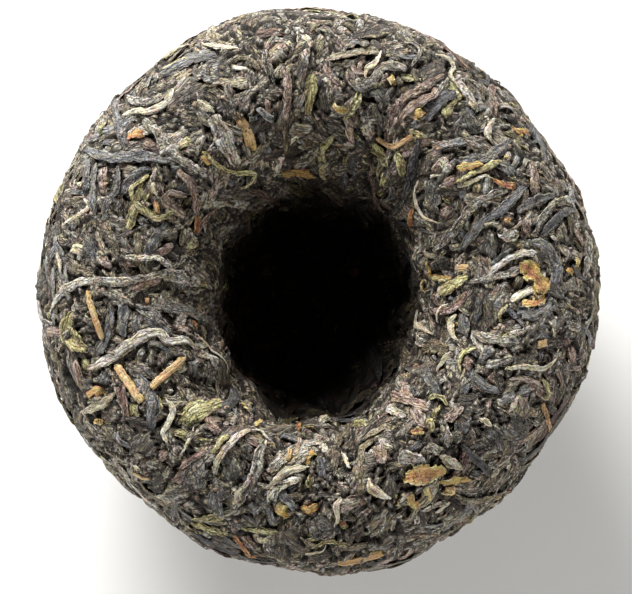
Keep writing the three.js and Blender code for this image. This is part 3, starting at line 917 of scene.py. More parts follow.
class Layers:
    """How deep the leaves laid so far reach under the form, in cells of about the same size."""

    CELL = 0.4  # millimetres
    FEWEST_ROUND = 6  # cells in a ring
    STEEPEST = 0.55  # how far a leaf dips for each millimetre ahead, at most
    ACROSS = np.array([-0.85, -0.45, 0.0, 0.45, 0.85])  # shares of half its width that are looked under
    ROUNDED = 1.0 - np.sqrt(1.0 - 0.9 * ACROSS**2)  # how far it has rounded down there, nearly a circle
    DIVE_SHARE = 0.2  # of its length, over which an end dives
    BODY = (4.0, 0.35)  # its thickness grows so fast from each end, and is this share there
    UNDERSIDE = 0.8  # how much of the rounding its underside has
    DIP_ROUNDS = 3  # rounds in which a dip is passed on to the stations beside it
    EASE_ROUNDS = 4  # rounds of averages of neighbours

    def __init__(self, form: NestForm) -> None:
        """Divides the nest into rings of cells.

        Args:
            form: the nest's form.
        """
        self.form = form
        self.fine = np.linspace(0, FLOOR, FINE_PLACES)
        run = np.linalg.norm(np.diff(form.profile(self.fine)[0], axis=0), axis=1)
        self.run = np.concatenate([[0.0], np.cumsum(run)])
        self.rings = int(self.run[-1] / self.CELL)
        self.pitch = self.run[-1] / self.rings
        middles = np.interp((np.arange(self.rings) + 0.5) * self.pitch, self.run, self.fine)
        radius = form.profile(middles)[0][:, 0]
        around = np.rint(2 * math.pi * radius / self.CELL)
        self.round = np.maximum(self.FEWEST_ROUND, around).astype(int)
        self.first = np.concatenate([[0], np.cumsum(self.round)])[:-1]
        self.reach = np.zeros(int(self.round.sum()))
        ring = np.repeat(np.arange(self.rings), self.round)
        self.cell_along = middles[ring]
        column = np.arange(len(ring)) - self.first[ring] + 0.5
        self.cell_angle = 2 * math.pi * column / self.round[ring] - math.pi

    def cells_within(self, lot: Lot) -> Array:
        """The cells that a lot's strips may start from.

        Args:
            lot: the lot.

        Returns:
            The numbers of the cells in its stretch, or only of the bare ones for a lot in gaps.
        """
        chosen = (self.cell_along >= lot.begin) & (self.cell_along < lot.end)
        if lot.in_gaps:
            chosen &= self.reach <= 0.0
        return np.flatnonzero(chosen)

    def cells(self, along: Array, angle: Array) -> Array:
        """Finds the cell at each place.

        Args:
            along: places along the profile.
            angle: bearings round the axis, in radians.

        Returns:
            The cells' numbers.
        """
        ring = (np.interp(along, self.fine, self.run) / self.pitch).astype(int)
        ring = np.clip(ring, 0, self.rings - 1)
        share = np.mod(angle + math.pi, 2 * math.pi) / (2 * math.pi)
        column = (share * self.round[ring]).astype(int)
        return self.first[ring] + np.minimum(column, self.round[ring] - 1)

    def footprints(self, strips: Strips) -> Array:
        """Finds what lies under strips.

        Args:
            strips: the strips.

        Returns:
            The cells under each strip, at each station and each place across it.
        """
        patch = self.form.patch(strips.along, strips.angle)
        ahead = unit(np.gradient(patch.point, axis=1))
        side = unit(np.cross(patch.out, ahead))
        off = 0.5 * strips.width[:, None, None] * self.ACROSS
        along = strips.along[..., None] + off * (dot(side, patch.down) / patch.down_rate)[..., None]
        angle = strips.angle[..., None] + off * (dot(side, patch.round) / patch.round_rate)[..., None]
        return self.cells(np.clip(along, 0, FLOOR), angle)

    def lay(self, strips: Strips, tries: int, least_seen: float, deepest: float, thin: Array) -> Strips:
        """Lays strips one by one, each under what is there.

        A strip's top goes where the cells under it are free. Where they aren't, it goes down
        to what was laid before, and its line is eased by averages of neighbours.

        Args:
            strips: what to lay, in order.
            tries: how many strips in a row are tries at one place.
            least_seen: the least share of free cells for a strip to be laid at all.
            deepest: how deep its top may go.
            thin: thickness over width of each kind.

        Returns:
            The strips that were laid, with their depths.
        """
        cells = self.footprints(strips)
        thick = strips.width * thin[strips.kind]
        share = np.linspace(0, 1, STATIONS)
        body = np.minimum(1.0, self.BODY[0] * np.minimum(share, 1 - share) + self.BODY[1])
        dive = np.clip(1 - np.stack([share, 1 - share]) / self.DIVE_SHARE, 0, 1) ** 2
        depths, kept = [], []
        for first in range(0, len(strips.kind), tries):
            free = (self.reach[cells[first : first + tries]] <= 0.0).mean(axis=(1, 2))
            if free.max() < least_seen:
                continue
            row = first + int(free.argmax())
            under = self.reach[cells[row]]
            drop = 0.5 * thick[row] * self.ROUNDED
            need = (under - drop).max(axis=1)
            need = np.maximum(need, strips.base[row]) + strips.tips[row] @ dive
            fall = self.STEEPEST * strips.length[row] / STATIONS
            for _ in range(self.DIP_ROUNDS):
                need = np.maximum(need, np.maximum(np.roll(need, 1), np.roll(need, -1)) - fall)
            for _ in range(self.EASE_ROUNDS):
                need = np.convolve(np.pad(need, 1, mode="edge"), (0.25, 0.5, 0.25), mode="valid")
            if need.max() > deepest:
                continue
            deep = thick[row] * body[:, None] * (1.0 - self.UNDERSIDE * self.ROUNDED)
            bottom = need[:, None] + deep
            flat = cells[row].ravel()
            np.maximum.at(self.reach, flat, bottom.ravel())
            depths.append(need)
            kept.append(row)
        laid = strips.chosen(np.array(kept, int))
        laid.depth = np.array(depths).reshape(len(kept), STATIONS)
        return laid


# ---------- Meshes of strips ----------


LOOKS = ("grain", "shade", "rim", "grit")  # what the finish of a piece reads at each of its points


@dataclass(frozen=True)
class Sections:
    """The sections of strips, for each strip, place along it and point round it."""

    across: Array  # millimetres to the side of the strip's line
    upward: Array  # and over the section's middle
    ridge: Array  # how far laps and creases raise it, as a share of half its width
    crinkles: Array  # from 0 down to -1


@dataclass
class StripMesh:
    """Builds the closed meshes of one kind's strips as whole arrays."""

    form: NestForm
    random: np.random.Generator
    points: list = field(default_factory=list)
    faces: list = field(default_factory=list)
    looks: dict = field(default_factory=lambda: {name: [] for name in LOOKS})
    count: int = 0  # points so far
    grit_range: tuple[float, float] = (0.45, 1.5)  # how strongly a leaf is streaked and mottled
    pale: tuple[float, float] = (0.27, 0.58)  # how pale a leaf of shade 0 is, and what shade 1 adds
    unlit: float = 0.72  # painted shade: how much less pale the leaves deep in the hollow are
    depth_shade: float = 0.07  # painted shade: how much less pale a leaf is for each millimetre that it lies deeper
    depth_shade_span: tuple[float, float] = (0.4, 1.6)  # the depth at which that begins, and how far it goes on

    # Wave lengths in millimetres, least and most, of what comes and goes along a leaf.
    WAVES = {
        "width": (3, 9), "fine_width": (1.0, 2.5), "thickness": (2.5, 7), "crease_line": (2, 5),
        "crease_depth": (2, 6), "side": (1.8, 4), "lift": (1.5, 4), "roll": (5, 12), "margin": (2, 6),
    }
    # Random shares, least and most, of the cut's tip and taper, and the power that rounds an end.
    TIP, TAPER, END_POWER = (0.4, 1.6), (0.4, 1.3), (0.45, 1.0)
    FINE_WIDTH = 0.6  # size of the width's fine waves beside its long ones
    THICKNESS = 0.18  # how much the thickness comes and goes
    SECOND_LAP = (0.45, 0.6)  # size and phase of the second sine of the laps' sawtooth
    CREASE_POWER, CREASE_TURN = 1.7, 1.3  # how sharp a crease is, and its turn beside the laps'
    CREASE_BENT = (0.5, 0.35)  # how far its line wanders along and round the leaf
    CREASE_COMES = (0.65, 0.35)  # middle and swing of its depth
    SIDE_POWER, TOP_POWER = 0.8, 0.75  # under 1, so that a section is squarer than an ellipse
    RIDGE_ASIDE = 0.3  # share of a ridge by which the section is also wider
    SWAY = 0.5  # share of the cut's unevenness by which the leaf sways aside and up
    ROLL = (0.25, 0.2)  # radians that a leaf leans at most, and that it rocks
    BLUNT = 0.25  # how far an end's point stands out, as a share of half the width there
    GRAIN_START = 900  # millimetres from which each leaf's pattern starts at random
    MARGIN_POWER, MARGIN_COMES = 8, (0.6, 0.4)  # how narrow the pale margins are, and how they come and go
    RIM = (1.2, 2.2, 0.5)  # weights of the painted highlight on ridges and painted shade in creases, and of the painted shade in crinkles, and what all of the leaf has
    # Weight and pitch in millimetres of each family of crinkles.
    CRINKLES = ((0.5, 1.9), (0.3, 1.2), (0.2, 0.75))
    CRINKLE_PITCH = (0.8, 1.3)  # random share of the pitch, least and most
    CRINKLE_BENT = (2.1, 1.3)  # radians a pitch, across and along, of the sine that warps its creases
    CRINKLE_PHASE = 6  # that sine's greatest phase
    CRINKLE_POWER, CRINKLE_WARP = 1.4, 0.9  # how sharp a crease is, and how far it is warped

    @staticmethod
    def resampled(values: Array, count: int) -> Array:
        """Spreads rows of values over another number of places, by straight interpolation.

        Args:
            values: one row for each strip.
            count: how many places each new row has.

        Returns:
            The new rows.
        """
        at = np.linspace(0, values.shape[1] - 1, count)
        k = np.minimum(at.astype(int), values.shape[1] - 2)
        mix = (at - k).reshape((1, -1) + (1,) * (values.ndim - 2))
        return values[:, k] * (1 - mix) + values[:, k + 1] * mix

    @staticmethod
    def with_tips(values: Array, tips: Array) -> Array:
        """Each strip's values at its sections' points, and then at its two ends, in one row of all."""
        rows = np.concatenate([values.reshape(len(values), -1, values.shape[-1]), tips], axis=1)
        return rows.reshape(-1, values.shape[-1])

    def wave(self, name: str, run: Array) -> Array:
        """Makes a random sine along each strip.

        Args:
            name: what it is for, which gives its wave lengths.
            run: how far along each strip its places are.

        Returns:
            Its value at each place.
        """
        length = self.random.uniform(*self.WAVES[name], (len(run), 1))
        phase = self.random.uniform(0, 2 * math.pi, (len(run), 1))
        return np.sin(2 * math.pi * run / length + phase)

    def crinkles(self, across: Array, run: Array) -> Array:
        """Makes sharp crinkles: three crossing families of creases, each 1 less the size of a warped sine.

        Args:
            across: how far to the side each point lies.
            run: how far along.

        Returns:
            From 0 on flat leaf down to -1 where all three cross.
        """
        random, one_each = self.random, (len(across), 1, 1)
        total = np.zeros(across.shape)
        for weight, pitch in self.CRINKLES:
            lean = random.uniform(0, math.pi, one_each)
            length = pitch * random.uniform(*self.CRINKLE_PITCH, one_each)
            line = (across * np.cos(lean) + run * np.sin(lean)) / length
            phase = random.uniform(0, self.CRINKLE_PHASE, one_each)
            warp = np.sin(self.CRINKLE_BENT[0] * across / pitch + phase + self.CRINKLE_BENT[1] * run / pitch)
            bent = np.abs(np.sin(math.pi * line + self.CRINKLE_WARP * warp))
            total = total - weight * (1 - bent) ** self.CRINKLE_POWER
        return total

    def sizes(self, strips: Strips, cut: Cut, share: Array, run: Array) -> tuple[Array, Array]:
        """Works out how wide and thick strips are along them.

        A strip narrows to both ends by a power of the distance from them, and its width and
        thickness come and go by sines.

        Args:
            strips: the strips.
            cut: their kind's cut.
            share: how far along each place is, as a share of the length.
            run: the same in millimetres.

        Returns:
            Half the width and half the thickness at each place.
        """
        n, random = len(run), self.random
        tip = (cut.tip * random.uniform(*self.TIP, (n, 1, 2))).clip(0, 1)
        taper = cut.taper * random.uniform(*self.TAPER, (n, 1, 2))
        power = random.uniform(*self.END_POWER, (n, 1, 2))
        ends = (np.stack([share, 1 - share], axis=-1) / taper).clip(0, 1) ** power
        narrowing = tip + (1 - tip) * ends
        waves = self.wave("width", run) + self.FINE_WIDTH * self.wave("fine_width", run)
        half = 0.5 * strips.width[:, None] * narrowing.prod(axis=-1) * (1 + cut.uneven * waves)
        return half, cut.flatness * half * (1 + self.THICKNESS * self.wave("thickness", run))

    def sections(self, cut: Cut, run: Array, phi: Array, half: Array, thick: Array) -> Sections:
        """Works out the strips' sections.

        A section is a squarish ellipse, flattened to the kind's share and turned by its twist.
        Its radius is changed by laps, a sawtooth of two sines like a rolled leaf's, and cut by
        creases, where the size of a sine comes near 0. Crinkles lower it where they cross.

        Args:
            cut: the strips' cut.
            run: how far along each strip its places are.
            phi: bearings round a section, from its side over its top.
            half: half the width at each place.
            thick: half the thickness.

        Returns:
            The sections.
        """
        n, random = len(run), self.random
        begin = random.uniform(0, 2 * math.pi, (n, 1, 1))
        turned = begin + random.uniform(-1, 1, (n, 1, 1)) * cut.twist * run[..., None]
        lap = 2 * phi + turned
        laps = np.sin(lap) + self.SECOND_LAP[0] * np.sin(2 * lap + self.SECOND_LAP[1])
        creases = random.integers(cut.creases[0], cut.creases[1] + 1, (n, 1, 1))
        bent = self.CREASE_BENT[0] * self.wave("crease_line", run)[..., None]
        bent = bent + self.CREASE_BENT[1] * np.sin(phi + turned)
        crease_line = np.abs(np.sin(0.5 * creases * phi + self.CREASE_TURN * turned + bent))
        crease = (1 - crease_line) ** self.CREASE_POWER
        coming = self.CREASE_COMES[0] + self.CREASE_COMES[1] * self.wave("crease_depth", run)[..., None]
        ridge = cut.lap_depth * laps - cut.crease_depth * coming * crease

        aside = np.sign(np.cos(phi)) * np.abs(np.cos(phi)) ** self.SIDE_POWER
        raised = np.sign(np.sin(phi)) * np.abs(np.sin(phi)) ** self.TOP_POWER
        across = half[..., None] * aside * (1 + self.RIDGE_ASIDE * ridge)
        across = across + self.SWAY * cut.uneven * self.wave("side", run)[..., None]
        upward = thick[..., None] * raised + half[..., None] * ridge * raised
        lift = self.SWAY * cut.uneven * self.wave("lift", run)[..., None]
        crinkles = self.crinkles(across, run[..., None])
        lift = lift + cut.crinkle * crinkles
        lean = random.uniform(-self.ROLL[0], self.ROLL[0], (n, 1, 1))
        roll = lean + self.ROLL[1] * self.wave("roll", run)[..., None]
        return Sections(
            across * np.cos(roll) - upward * np.sin(roll),
            across * np.sin(roll) + upward * np.cos(roll) + lift,
            ridge, crinkles,
        )

    def add(self, strips: Strips, kind: Kind, steps: int, sides: int) -> None:
        """Adds strips of one kind.

        The section is carried along the strip's line, its top at the strip's depth. Two thirds
        of its points are on the upper half, which shows.

        Args:
            strips: what to add, all of that kind.
            kind: the kind, which gives the cut.
            steps: sections along each strip.
            sides: points round each section.
        """
        n = len(strips.kind)
        if n == 0:
            return
        cut, random = CUTS[kind], self.random
        patch = self.form.patch(strips.along, strips.angle)
        point = self.resampled(patch.point, steps)
        out = unit(self.resampled(patch.out, steps))
        ahead = unit(np.gradient(point, axis=1))
        side = unit(np.cross(out, ahead))
        depth = self.resampled(strips.depth, steps)
        share = np.linspace(0, 1, steps)[None, :]
        run = share * strips.length[:, None]
        above, below = sides - sides // 3, sides // 3
        phi = math.pi * np.concatenate([np.arange(above) / above, 1 + np.arange(below) / below])
        half, thick = self.sizes(strips, cut, share, run)
        cuts = self.sections(cut, run, phi, half, thick)

        over = -(depth + thick)[..., None] + cuts.upward
        place = point[:, :, None, :] + cuts.across[..., None] * side[:, :, None, :]
        place = place + over[..., None] * out[:, :, None, :]
        tips = place.mean(axis=2)[:, [0, -1]]
        tips[:, 0] -= self.BLUNT * half[:, 0, None] * ahead[:, 0]
        tips[:, 1] += self.BLUNT * half[:, -1, None] * ahead[:, -1]
        self.points.append(self.with_tips(place, tips))

        grain_start = random.uniform(0, self.GRAIN_START, (n, 1, 1, 3))
        grain = np.stack(np.broadcast_arrays(cuts.across, cuts.upward, run[..., None]), axis=-1)
        grain = grain + grain_start
        margin = np.abs(np.cos(phi)) ** self.MARGIN_POWER * random.uniform(0, 1, (n, 1, 1))
        comes = self.MARGIN_COMES[0] + self.MARGIN_COMES[1] * self.wave("margin", run)[..., None]
        # painted highlight on ridges, painted shade in creases and crinkles, and the leaf's own pale margins
        rim = self.RIM[0] * cuts.ridge / cut.crease_depth + self.RIM[1] * cut.crinkle * cuts.crinkles
        rim = (rim + self.RIM[2] + margin * comes).reshape(n, -1, 1)
        under = -over.reshape(n, -1, 1)
        # painted shade: the deeper a point lies under the form, the darker it is
        buried = (under - self.depth_shade_span[0]).clip(0, self.depth_shade_span[1])
        shade = self.pale[0] + self.pale[1] * strips.shade[:, None, None] - self.depth_shade * buried
        # painted shade on the leaves deep in the hollow
        shade = shade - self.unlit * rise(strips.along.mean(axis=1), *HOLLOW_SHADE_ENDS)[:, None, None]
        grit = np.broadcast_to(random.uniform(*self.grit_range, (n, 1, 1)), shade.shape)
        self.looks["grain"].append(self.with_tips(grain, grain.mean(axis=2)[:, [0, -1]]))
        for name, values in (("rim", rim), ("shade", shade), ("grit", grit)):
            self.looks[name].append(self.with_tips(values, values[:, [0, -1]]).ravel())
        self.faces.append(self.quads_and_caps(n, steps, sides))
        self.count += n * (steps * sides + 2)

    def quads_and_caps(self, n: int, steps: int, sides: int) -> tuple[Array, Array]:
        """Joins the points of strips: quads round and along them, and a fan at each end.

        Args:
            n: how many strips.
            steps: sections along each.
            sides: points round each section.

        Returns:
            The corners of the quads and of the fans' triangles.
        """
        first = self.count + np.arange(n)[:, None, None] * (steps * sides + 2)
        m, k = np.meshgrid(np.arange(steps - 1) * sides, np.arange(sides), indexing="ij")
        after = (k + 1) % sides
        quads = np.stack([m + k, m + after, m + sides + after, m + sides + k], axis=-1)
        quads = (first + quads.reshape(1, -1, 4)).reshape(-1, 4)
        k = np.arange(sides)
        after = (k + 1) % sides
        start, end = steps * sides, steps * sides + 1
        last = (steps - 1) * sides
        caps = np.concatenate([
            np.stack([np.full(sides, start), after, k], axis=-1),
            np.stack([np.full(sides, end), last + k, last + after], axis=-1),
        ])
        return quads, (first + caps[None]).reshape(-1, 3)

    def object(self, name: str) -> bpy.types.Object:
        """Makes the object, with what its finish reads.

        Args:
            name: the piece's name.

        Returns:
            The object.
        """
        points = np.concatenate(self.points)
        points[:, 2] = np.maximum(points[:, 2], LOWEST)
        quads = np.concatenate([q for q, _ in self.faces])
        caps = np.concatenate([c for _, c in self.faces])
        looks = {look: np.concatenate(values) for look, values in self.looks.items()}
        return mesh_object(name, points, quads, caps, looks)


def mesh_object(
    name: str, points: Array, quads: Array, triangles: Array, looks: dict[str, Array]
) -> bpy.types.Object:
    """Puts points and faces into a new mesh, smooth shaded, and its object into the scene.

    Args:
        name: the piece's name.
        points: in millimetres.
        quads: corners of its four-sided faces.
        triangles: corners of its three-sided ones.
        looks: a value or a vector for each point, by the name of its attribute.

    Returns:
        The object, at the origin.
    """
    mesh = bpy.data.meshes.new(name)
    mesh.vertices.add(len(points))
    mesh.vertices.foreach_set("co", (points * MM).astype(np.float32).ravel())
    corners = np.concatenate([quads.ravel(), triangles.ravel()]).astype(np.int32)
    starts = np.concatenate([4 * np.arange(len(quads)), 4 * len(quads) + 3 * np.arange(len(triangles))])
    mesh.loops.add(len(corners))
    mesh.loops.foreach_set("vertex_index", corners)
    mesh.polygons.add(len(starts))
    mesh.polygons.foreach_set("loop_start", starts.astype(np.int32))
    mesh.polygons.foreach_set("use_smooth", np.ones(len(starts), bool))
    mesh.update(calc_edges=True)
    mesh.validate()
    for look, values in looks.items():
        kind, part = ("FLOAT_VECTOR", "vector") if values.ndim == 2 else ("FLOAT", "value")
        attribute = mesh.attributes.new(look, kind, "POINT")
        attribute.data.foreach_set(part, values.astype(np.float32).ravel())
    thing = bpy.data.objects.new(name, mesh)
    bpy.context.scene.collection.objects.link(thing)
    return thing


# ---------- Finishes ----------


def add_node(tree: bpy.types.NodeTree, kind: str, settings: dict, inputs: dict) -> bpy.types.Node:
    """Adds a node.

    Args:
        tree: the material's node tree.
        kind: the node's type.
        settings: its own properties.
        inputs: what goes into its sockets, by name or number: a value, or another node's socket.

    Returns:
        The node.
    """
    node = tree.nodes.new(kind)
    for name, value in settings.items():
        setattr(node, name, value)
    for name, value in inputs.items():
        if isinstance(value, bpy.types.NodeSocket):
            tree.links.new(value, node.inputs[name])
        else:
            node.inputs[name].default_value = value
    return node


MULTIPLY_ADD = ("ShaderNodeMath", {"operation": "MULTIPLY_ADD"})


@dataclass(frozen=True)
class LeafFinish:
    """Dry tea leaf: dull, streaked and wrinkled along its length and mottled, with painted highlights on its
    raised edges and painted shade in its creases and wrinkles.

    The colours run from the darkest leaf of its kind to the palest. The streaks are about 0.4 mm
    apart, as a leaf's veins are, its wrinkles 0.6 mm, and its mottles, which are down and dust,
    0.3 mm. The clouds, where a leaf has gone mossy or purplish, are 1 to 2 mm. All but the
    wrinkles have three finer layers. Grit makes a leaf's streaks and mottles stronger or weaker.
    """

    name: str
    colours: tuple[str, ...]
    tint: str = "#f5f0c6"  # what mossy clouds are multiplied by
    second_tint: str = "#ffe3e2"  # what purplish clouds are multiplied by
    margin_and_shading_amount: float = 0.34  # how much paler a raised edge is by painted highlight, and a crease darker by painted shade; the pale margins go by it too
    streak: float = 2.2  # how far the streaks go over the colours
    mottle: float = 2.6
    wrinkle: float = 0.3  # painted shade: how much less pale a wrinkle's line is
    roughness: float = 0.58
    sheen: float = 0.0
    bump: float = 1.0

    # How many cells each pattern has in a millimetre across, through and along a leaf.
    PATTERNS = {
        "streaks": (2.6, 2.6, 0.5), "mottles": (3.1, 3.1, 2.3),
        "wrinkles": (1.7, 1.7, 0.5), "clouds": (1.1, 1.1, 0.6),
    }
    FINENESS = {"streaks": 0.65, "mottles": 0.7, "clouds": 0.7}  # strength of a noise's finer layers
    WRINKLE_WIDTH = 0.14  # of a cell
    MOSSY, PURPLISH = (0.42, 0.62), (0.46, 0.64)  # the clouds' levels over which each tint comes in
    MOTTLE_HEIGHT, WRINKLE_HEIGHT = 0.4, 0.7  # beside the streaks' 1
    RELIEF = 0.9 * MM
    ROUGHNESS_SWING = 0.15

    def material(self) -> bpy.types.Material:
        """Builds the material.

        Returns:
            The material, which reads the piece's grain, shade, its pale margins with painted highlight and
            shade, and grit.
        """
        material = bpy.data.materials.new(self.name)
        material.use_nodes = True
        material.node_tree.nodes.clear()
        add = partial(add_node, material.node_tree)
        looks = {name: add("ShaderNodeAttribute", {"attribute_name": name}, {}) for name in LOOKS}
        shade, rim, grit = (looks[name].outputs["Fac"] for name in ("shade", "rim", "grit"))
        cells, noises = {}, {}
        for name, scale in self.PATTERNS.items():
            cells[name] = add("ShaderNodeVectorMath", {"operation": "MULTIPLY"}, {
                0: looks["grain"].outputs["Vector"], 1: scale,
            }).outputs[0]
        for name, fineness in self.FINENESS.items():
            noises[name] = add("ShaderNodeTexNoise", {}, {
                "Vector": cells[name], "Scale": 1.0, "Detail": 3.0, "Roughness": fineness,
            })
        streaks, mottles = noises["streaks"].outputs["Fac"], noises["mottles"].outputs["Fac"]
        wrinkles = add("ShaderNodeTexVoronoi", {"feature": "DISTANCE_TO_EDGE"}, {
            "Vector": cells["wrinkles"], "Scale": 1.0,
        })
        # the wrinkles' lines: darker in the colour by painted shade, and sunk in the bump
        furrows = add("ShaderNodeMapRange", {"interpolation_type": "SMOOTHSTEP"}, {
            0: wrinkles.outputs["Distance"], 1: 0.0, 2: self.WRINKLE_WIDTH, 3: -self.wrinkle, 4: 0.0,
        })

        level_down = -(self.streak + self.mottle) / 2  # so that streaks and mottles are even about 0
        streaked = add(*MULTIPLY_ADD, {0: streaks, 1: self.streak, 2: level_down})
        mottled = add(*MULTIPLY_ADD, {0: mottles, 1: self.mottle, 2: streaked.outputs[0]})
        gritty = add(*MULTIPLY_ADD, {0: mottled.outputs[0], 1: grit, 2: shade})
        # painted shade in the wrinkles' lines
        wrinkled = add("ShaderNodeMath", {"operation": "ADD"}, {
            0: gritty.outputs[0], 1: furrows.outputs[0],
        })
        # pale margins, painted highlight on raised edges and painted shade in creases
        level = add(*MULTIPLY_ADD, {0: rim, 1: self.margin_and_shading_amount, 2: wrinkled.outputs[0]})
        ramp = add("ShaderNodeValToRGB", {}, {0: level.outputs[0]})
        self.fill(ramp.color_ramp)

        parts = add("ShaderNodeSeparateColor", {}, {0: noises["clouds"].outputs["Color"]})
        colour = ramp.outputs[0]
        tints = ((self.MOSSY, self.tint), (self.PURPLISH, self.second_tint))
        for part, ((low, high), tint) in enumerate(tints):
            amount = add("ShaderNodeMapRange", {}, {
                0: parts.outputs[part], 1: low, 2: high, 3: 0.0, 4: 1.0,
            })
            colour = add("ShaderNodeMix", {"data_type": "RGBA", "blend_type": "MULTIPLY"}, {
                0: amount.outputs[0], 6: colour, 7: linear(tint),
            }).outputs[2]

        rough_height = add(*MULTIPLY_ADD, {0: mottles, 1: self.MOTTLE_HEIGHT, 2: streaks})
        height = add(*MULTIPLY_ADD, {
            0: furrows.outputs[0], 1: self.WRINKLE_HEIGHT, 2: rough_height.outputs[0],
        })
        bump = add("ShaderNodeBump", {}, {
            "Strength": self.bump, "Distance": self.RELIEF, "Height": height.outputs[0],
        })
        swing = self.ROUGHNESS_SWING
        rough = add("ShaderNodeMapRange", {}, {
            0: mottles, 3: self.roughness - swing, 4: self.roughness + swing,
        })
        shader = add("ShaderNodeBsdfPrincipled", {}, {
            "Base Color": colour, "Roughness": rough.outputs[0], "Normal": bump.outputs[0],
            "Sheen Weight": self.sheen,
        })
        add("ShaderNodeOutputMaterial", {}, {"Surface": shader.outputs[0]})
        return material

    def fill(self, ramp: bpy.types.ColorRamp) -> None:
        """Spreads the colours evenly over a ramp.

        Args:
            ramp: the ramp, which begins with two stops.
        """
        last = len(self.colours) - 1
        for k, colour in enumerate(self.colours):
            stop = ramp.elements[k] if k < 2 else ramp.elements.new(1.0)
            stop.position = k / last
            stop.color = linear(colour)


DARK_BROAD_LEAF = ("#262219", "#42403b", "#5f5e5a", "#7f7e7a", "#aca9a2")
FINISHES = {
    Kind.CHARCOAL: LeafFinish(
        "dry_charcoal_leaf", ("#221f1e", "#38383a", "#4e4f53", "#68696c", "#929390"),
        streak=1.5, mottle=2.3, roughness=0.46, bump=0.8,
    ),
    Kind.PEAT: LeafFinish(
        "dry_peat_brown_leaf", ("#322818", "#4c412e", "#665e4b", "#827c69", "#aca797"),
        streak=1.7, mottle=2.8,
    ),
    Kind.SLATE: LeafFinish(
        "dry_slate_leaf", ("#352e23", "#5c5850", "#7f7d77", "#a3a19b", "#d2d0ca"),
        streak=1.8, mottle=2.9, roughness=0.5,
    ),
    Kind.OLIVE: LeafFinish(
        "dry_olive_leaf", ("#332e18", "#585233", "#7a754e", "#9e9b71", "#cac89f"), streak=1.8,
    ),
    Kind.UMBER: LeafFinish(
        "dry_umber_leaf", ("#38261f", "#5a453c", "#75625a", "#928077", "#b8aba2"), streak=1.9,
    ),
    Kind.BUD: LeafFinish(
        "downy_silver_bud", ("#5e5a4b", "#8b8777", "#b1ad9b", "#d1cdbb", "#eae8db"),
        streak=1.9, mottle=1.7, wrinkle=0.12, sheen=0.2,
    ),
    Kind.STEM: LeafFinish(
        "dry_tan_stem", ("#6b533c", "#9c7d58", "#c3a576", "#d9c497"),
        streak=1.2, mottle=1.0, wrinkle=0.1,
    ),
    Kind.BROAD: LeafFinish(
        "crinkled_dark_leaf", DARK_BROAD_LEAF, streak=1.2, mottle=2.2, wrinkle=0.4,
    ),
    Kind.SHEET: LeafFinish(
        "crumpled_dark_leaf", DARK_BROAD_LEAF, streak=1.2, mottle=2.2, wrinkle=0.4,
    ),
    Kind.FLAKE: LeafFinish(
        "dry_amber_flake", ("#75402f", "#9c6b4b", "#bb965a", "#aba25c", "#dcd1aa"),
        streak=0.8, mottle=1.1, wrinkle=0.14,
    ),
    Kind.CRUMB: LeafFinish("leaf_crumbs", ("#2f2922", "#545045", "#7b766b", "#a09b8f", "#c4c0b4")),
}


# ---------- The nest's pieces ----------


@dataclass(frozen=True)
class Fragments:
    """Torn leaf fragments that butt against one another: their middles, axes, sizes and looks."""

    BATCHES = 60  # so that the distances of a batch of points fit in memory

    middle: Array
    axes: tuple[Array, Array, Array]  # across each, out of the nest and along it
    halves: tuple[Array, Array, Array]  # half its width, a stand-in for its thickness, half its length
    lift: Array
    tilt: tuple[Array, Array]
    fold_pitch: Array
    shade: Array
    grain_start: Array
    grit: Array

    def nearest(self, points: Array) -> tuple[Array, Array]:
        """Finds the fragment that each point belongs to.

        A distance is measured in the fragment's own axes, each part divided by the half-size.

        Args:
            points: places in millimetres.

        Returns:
            The nearest fragment's number, and how much further the second nearest is: 0 at an edge.
        """
        owners, spares = [], []
        for some in np.array_split(points, self.BATCHES):
            away = np.zeros((len(some), len(self.middle)))
            for axis, half in zip(self.axes, self.halves):
                away += ((some @ axis.T - dot(self.middle, axis)) / half) ** 2
            owner = away.argmin(axis=1)
            rows = np.arange(len(some))
            near = np.sqrt(away[rows, owner])
            away[rows, owner] = np.inf
            owners.append(owner)
            spares.append(np.sqrt(away.min(axis=1)) - near)
        return np.concatenate(owners), np.concatenate(spares)


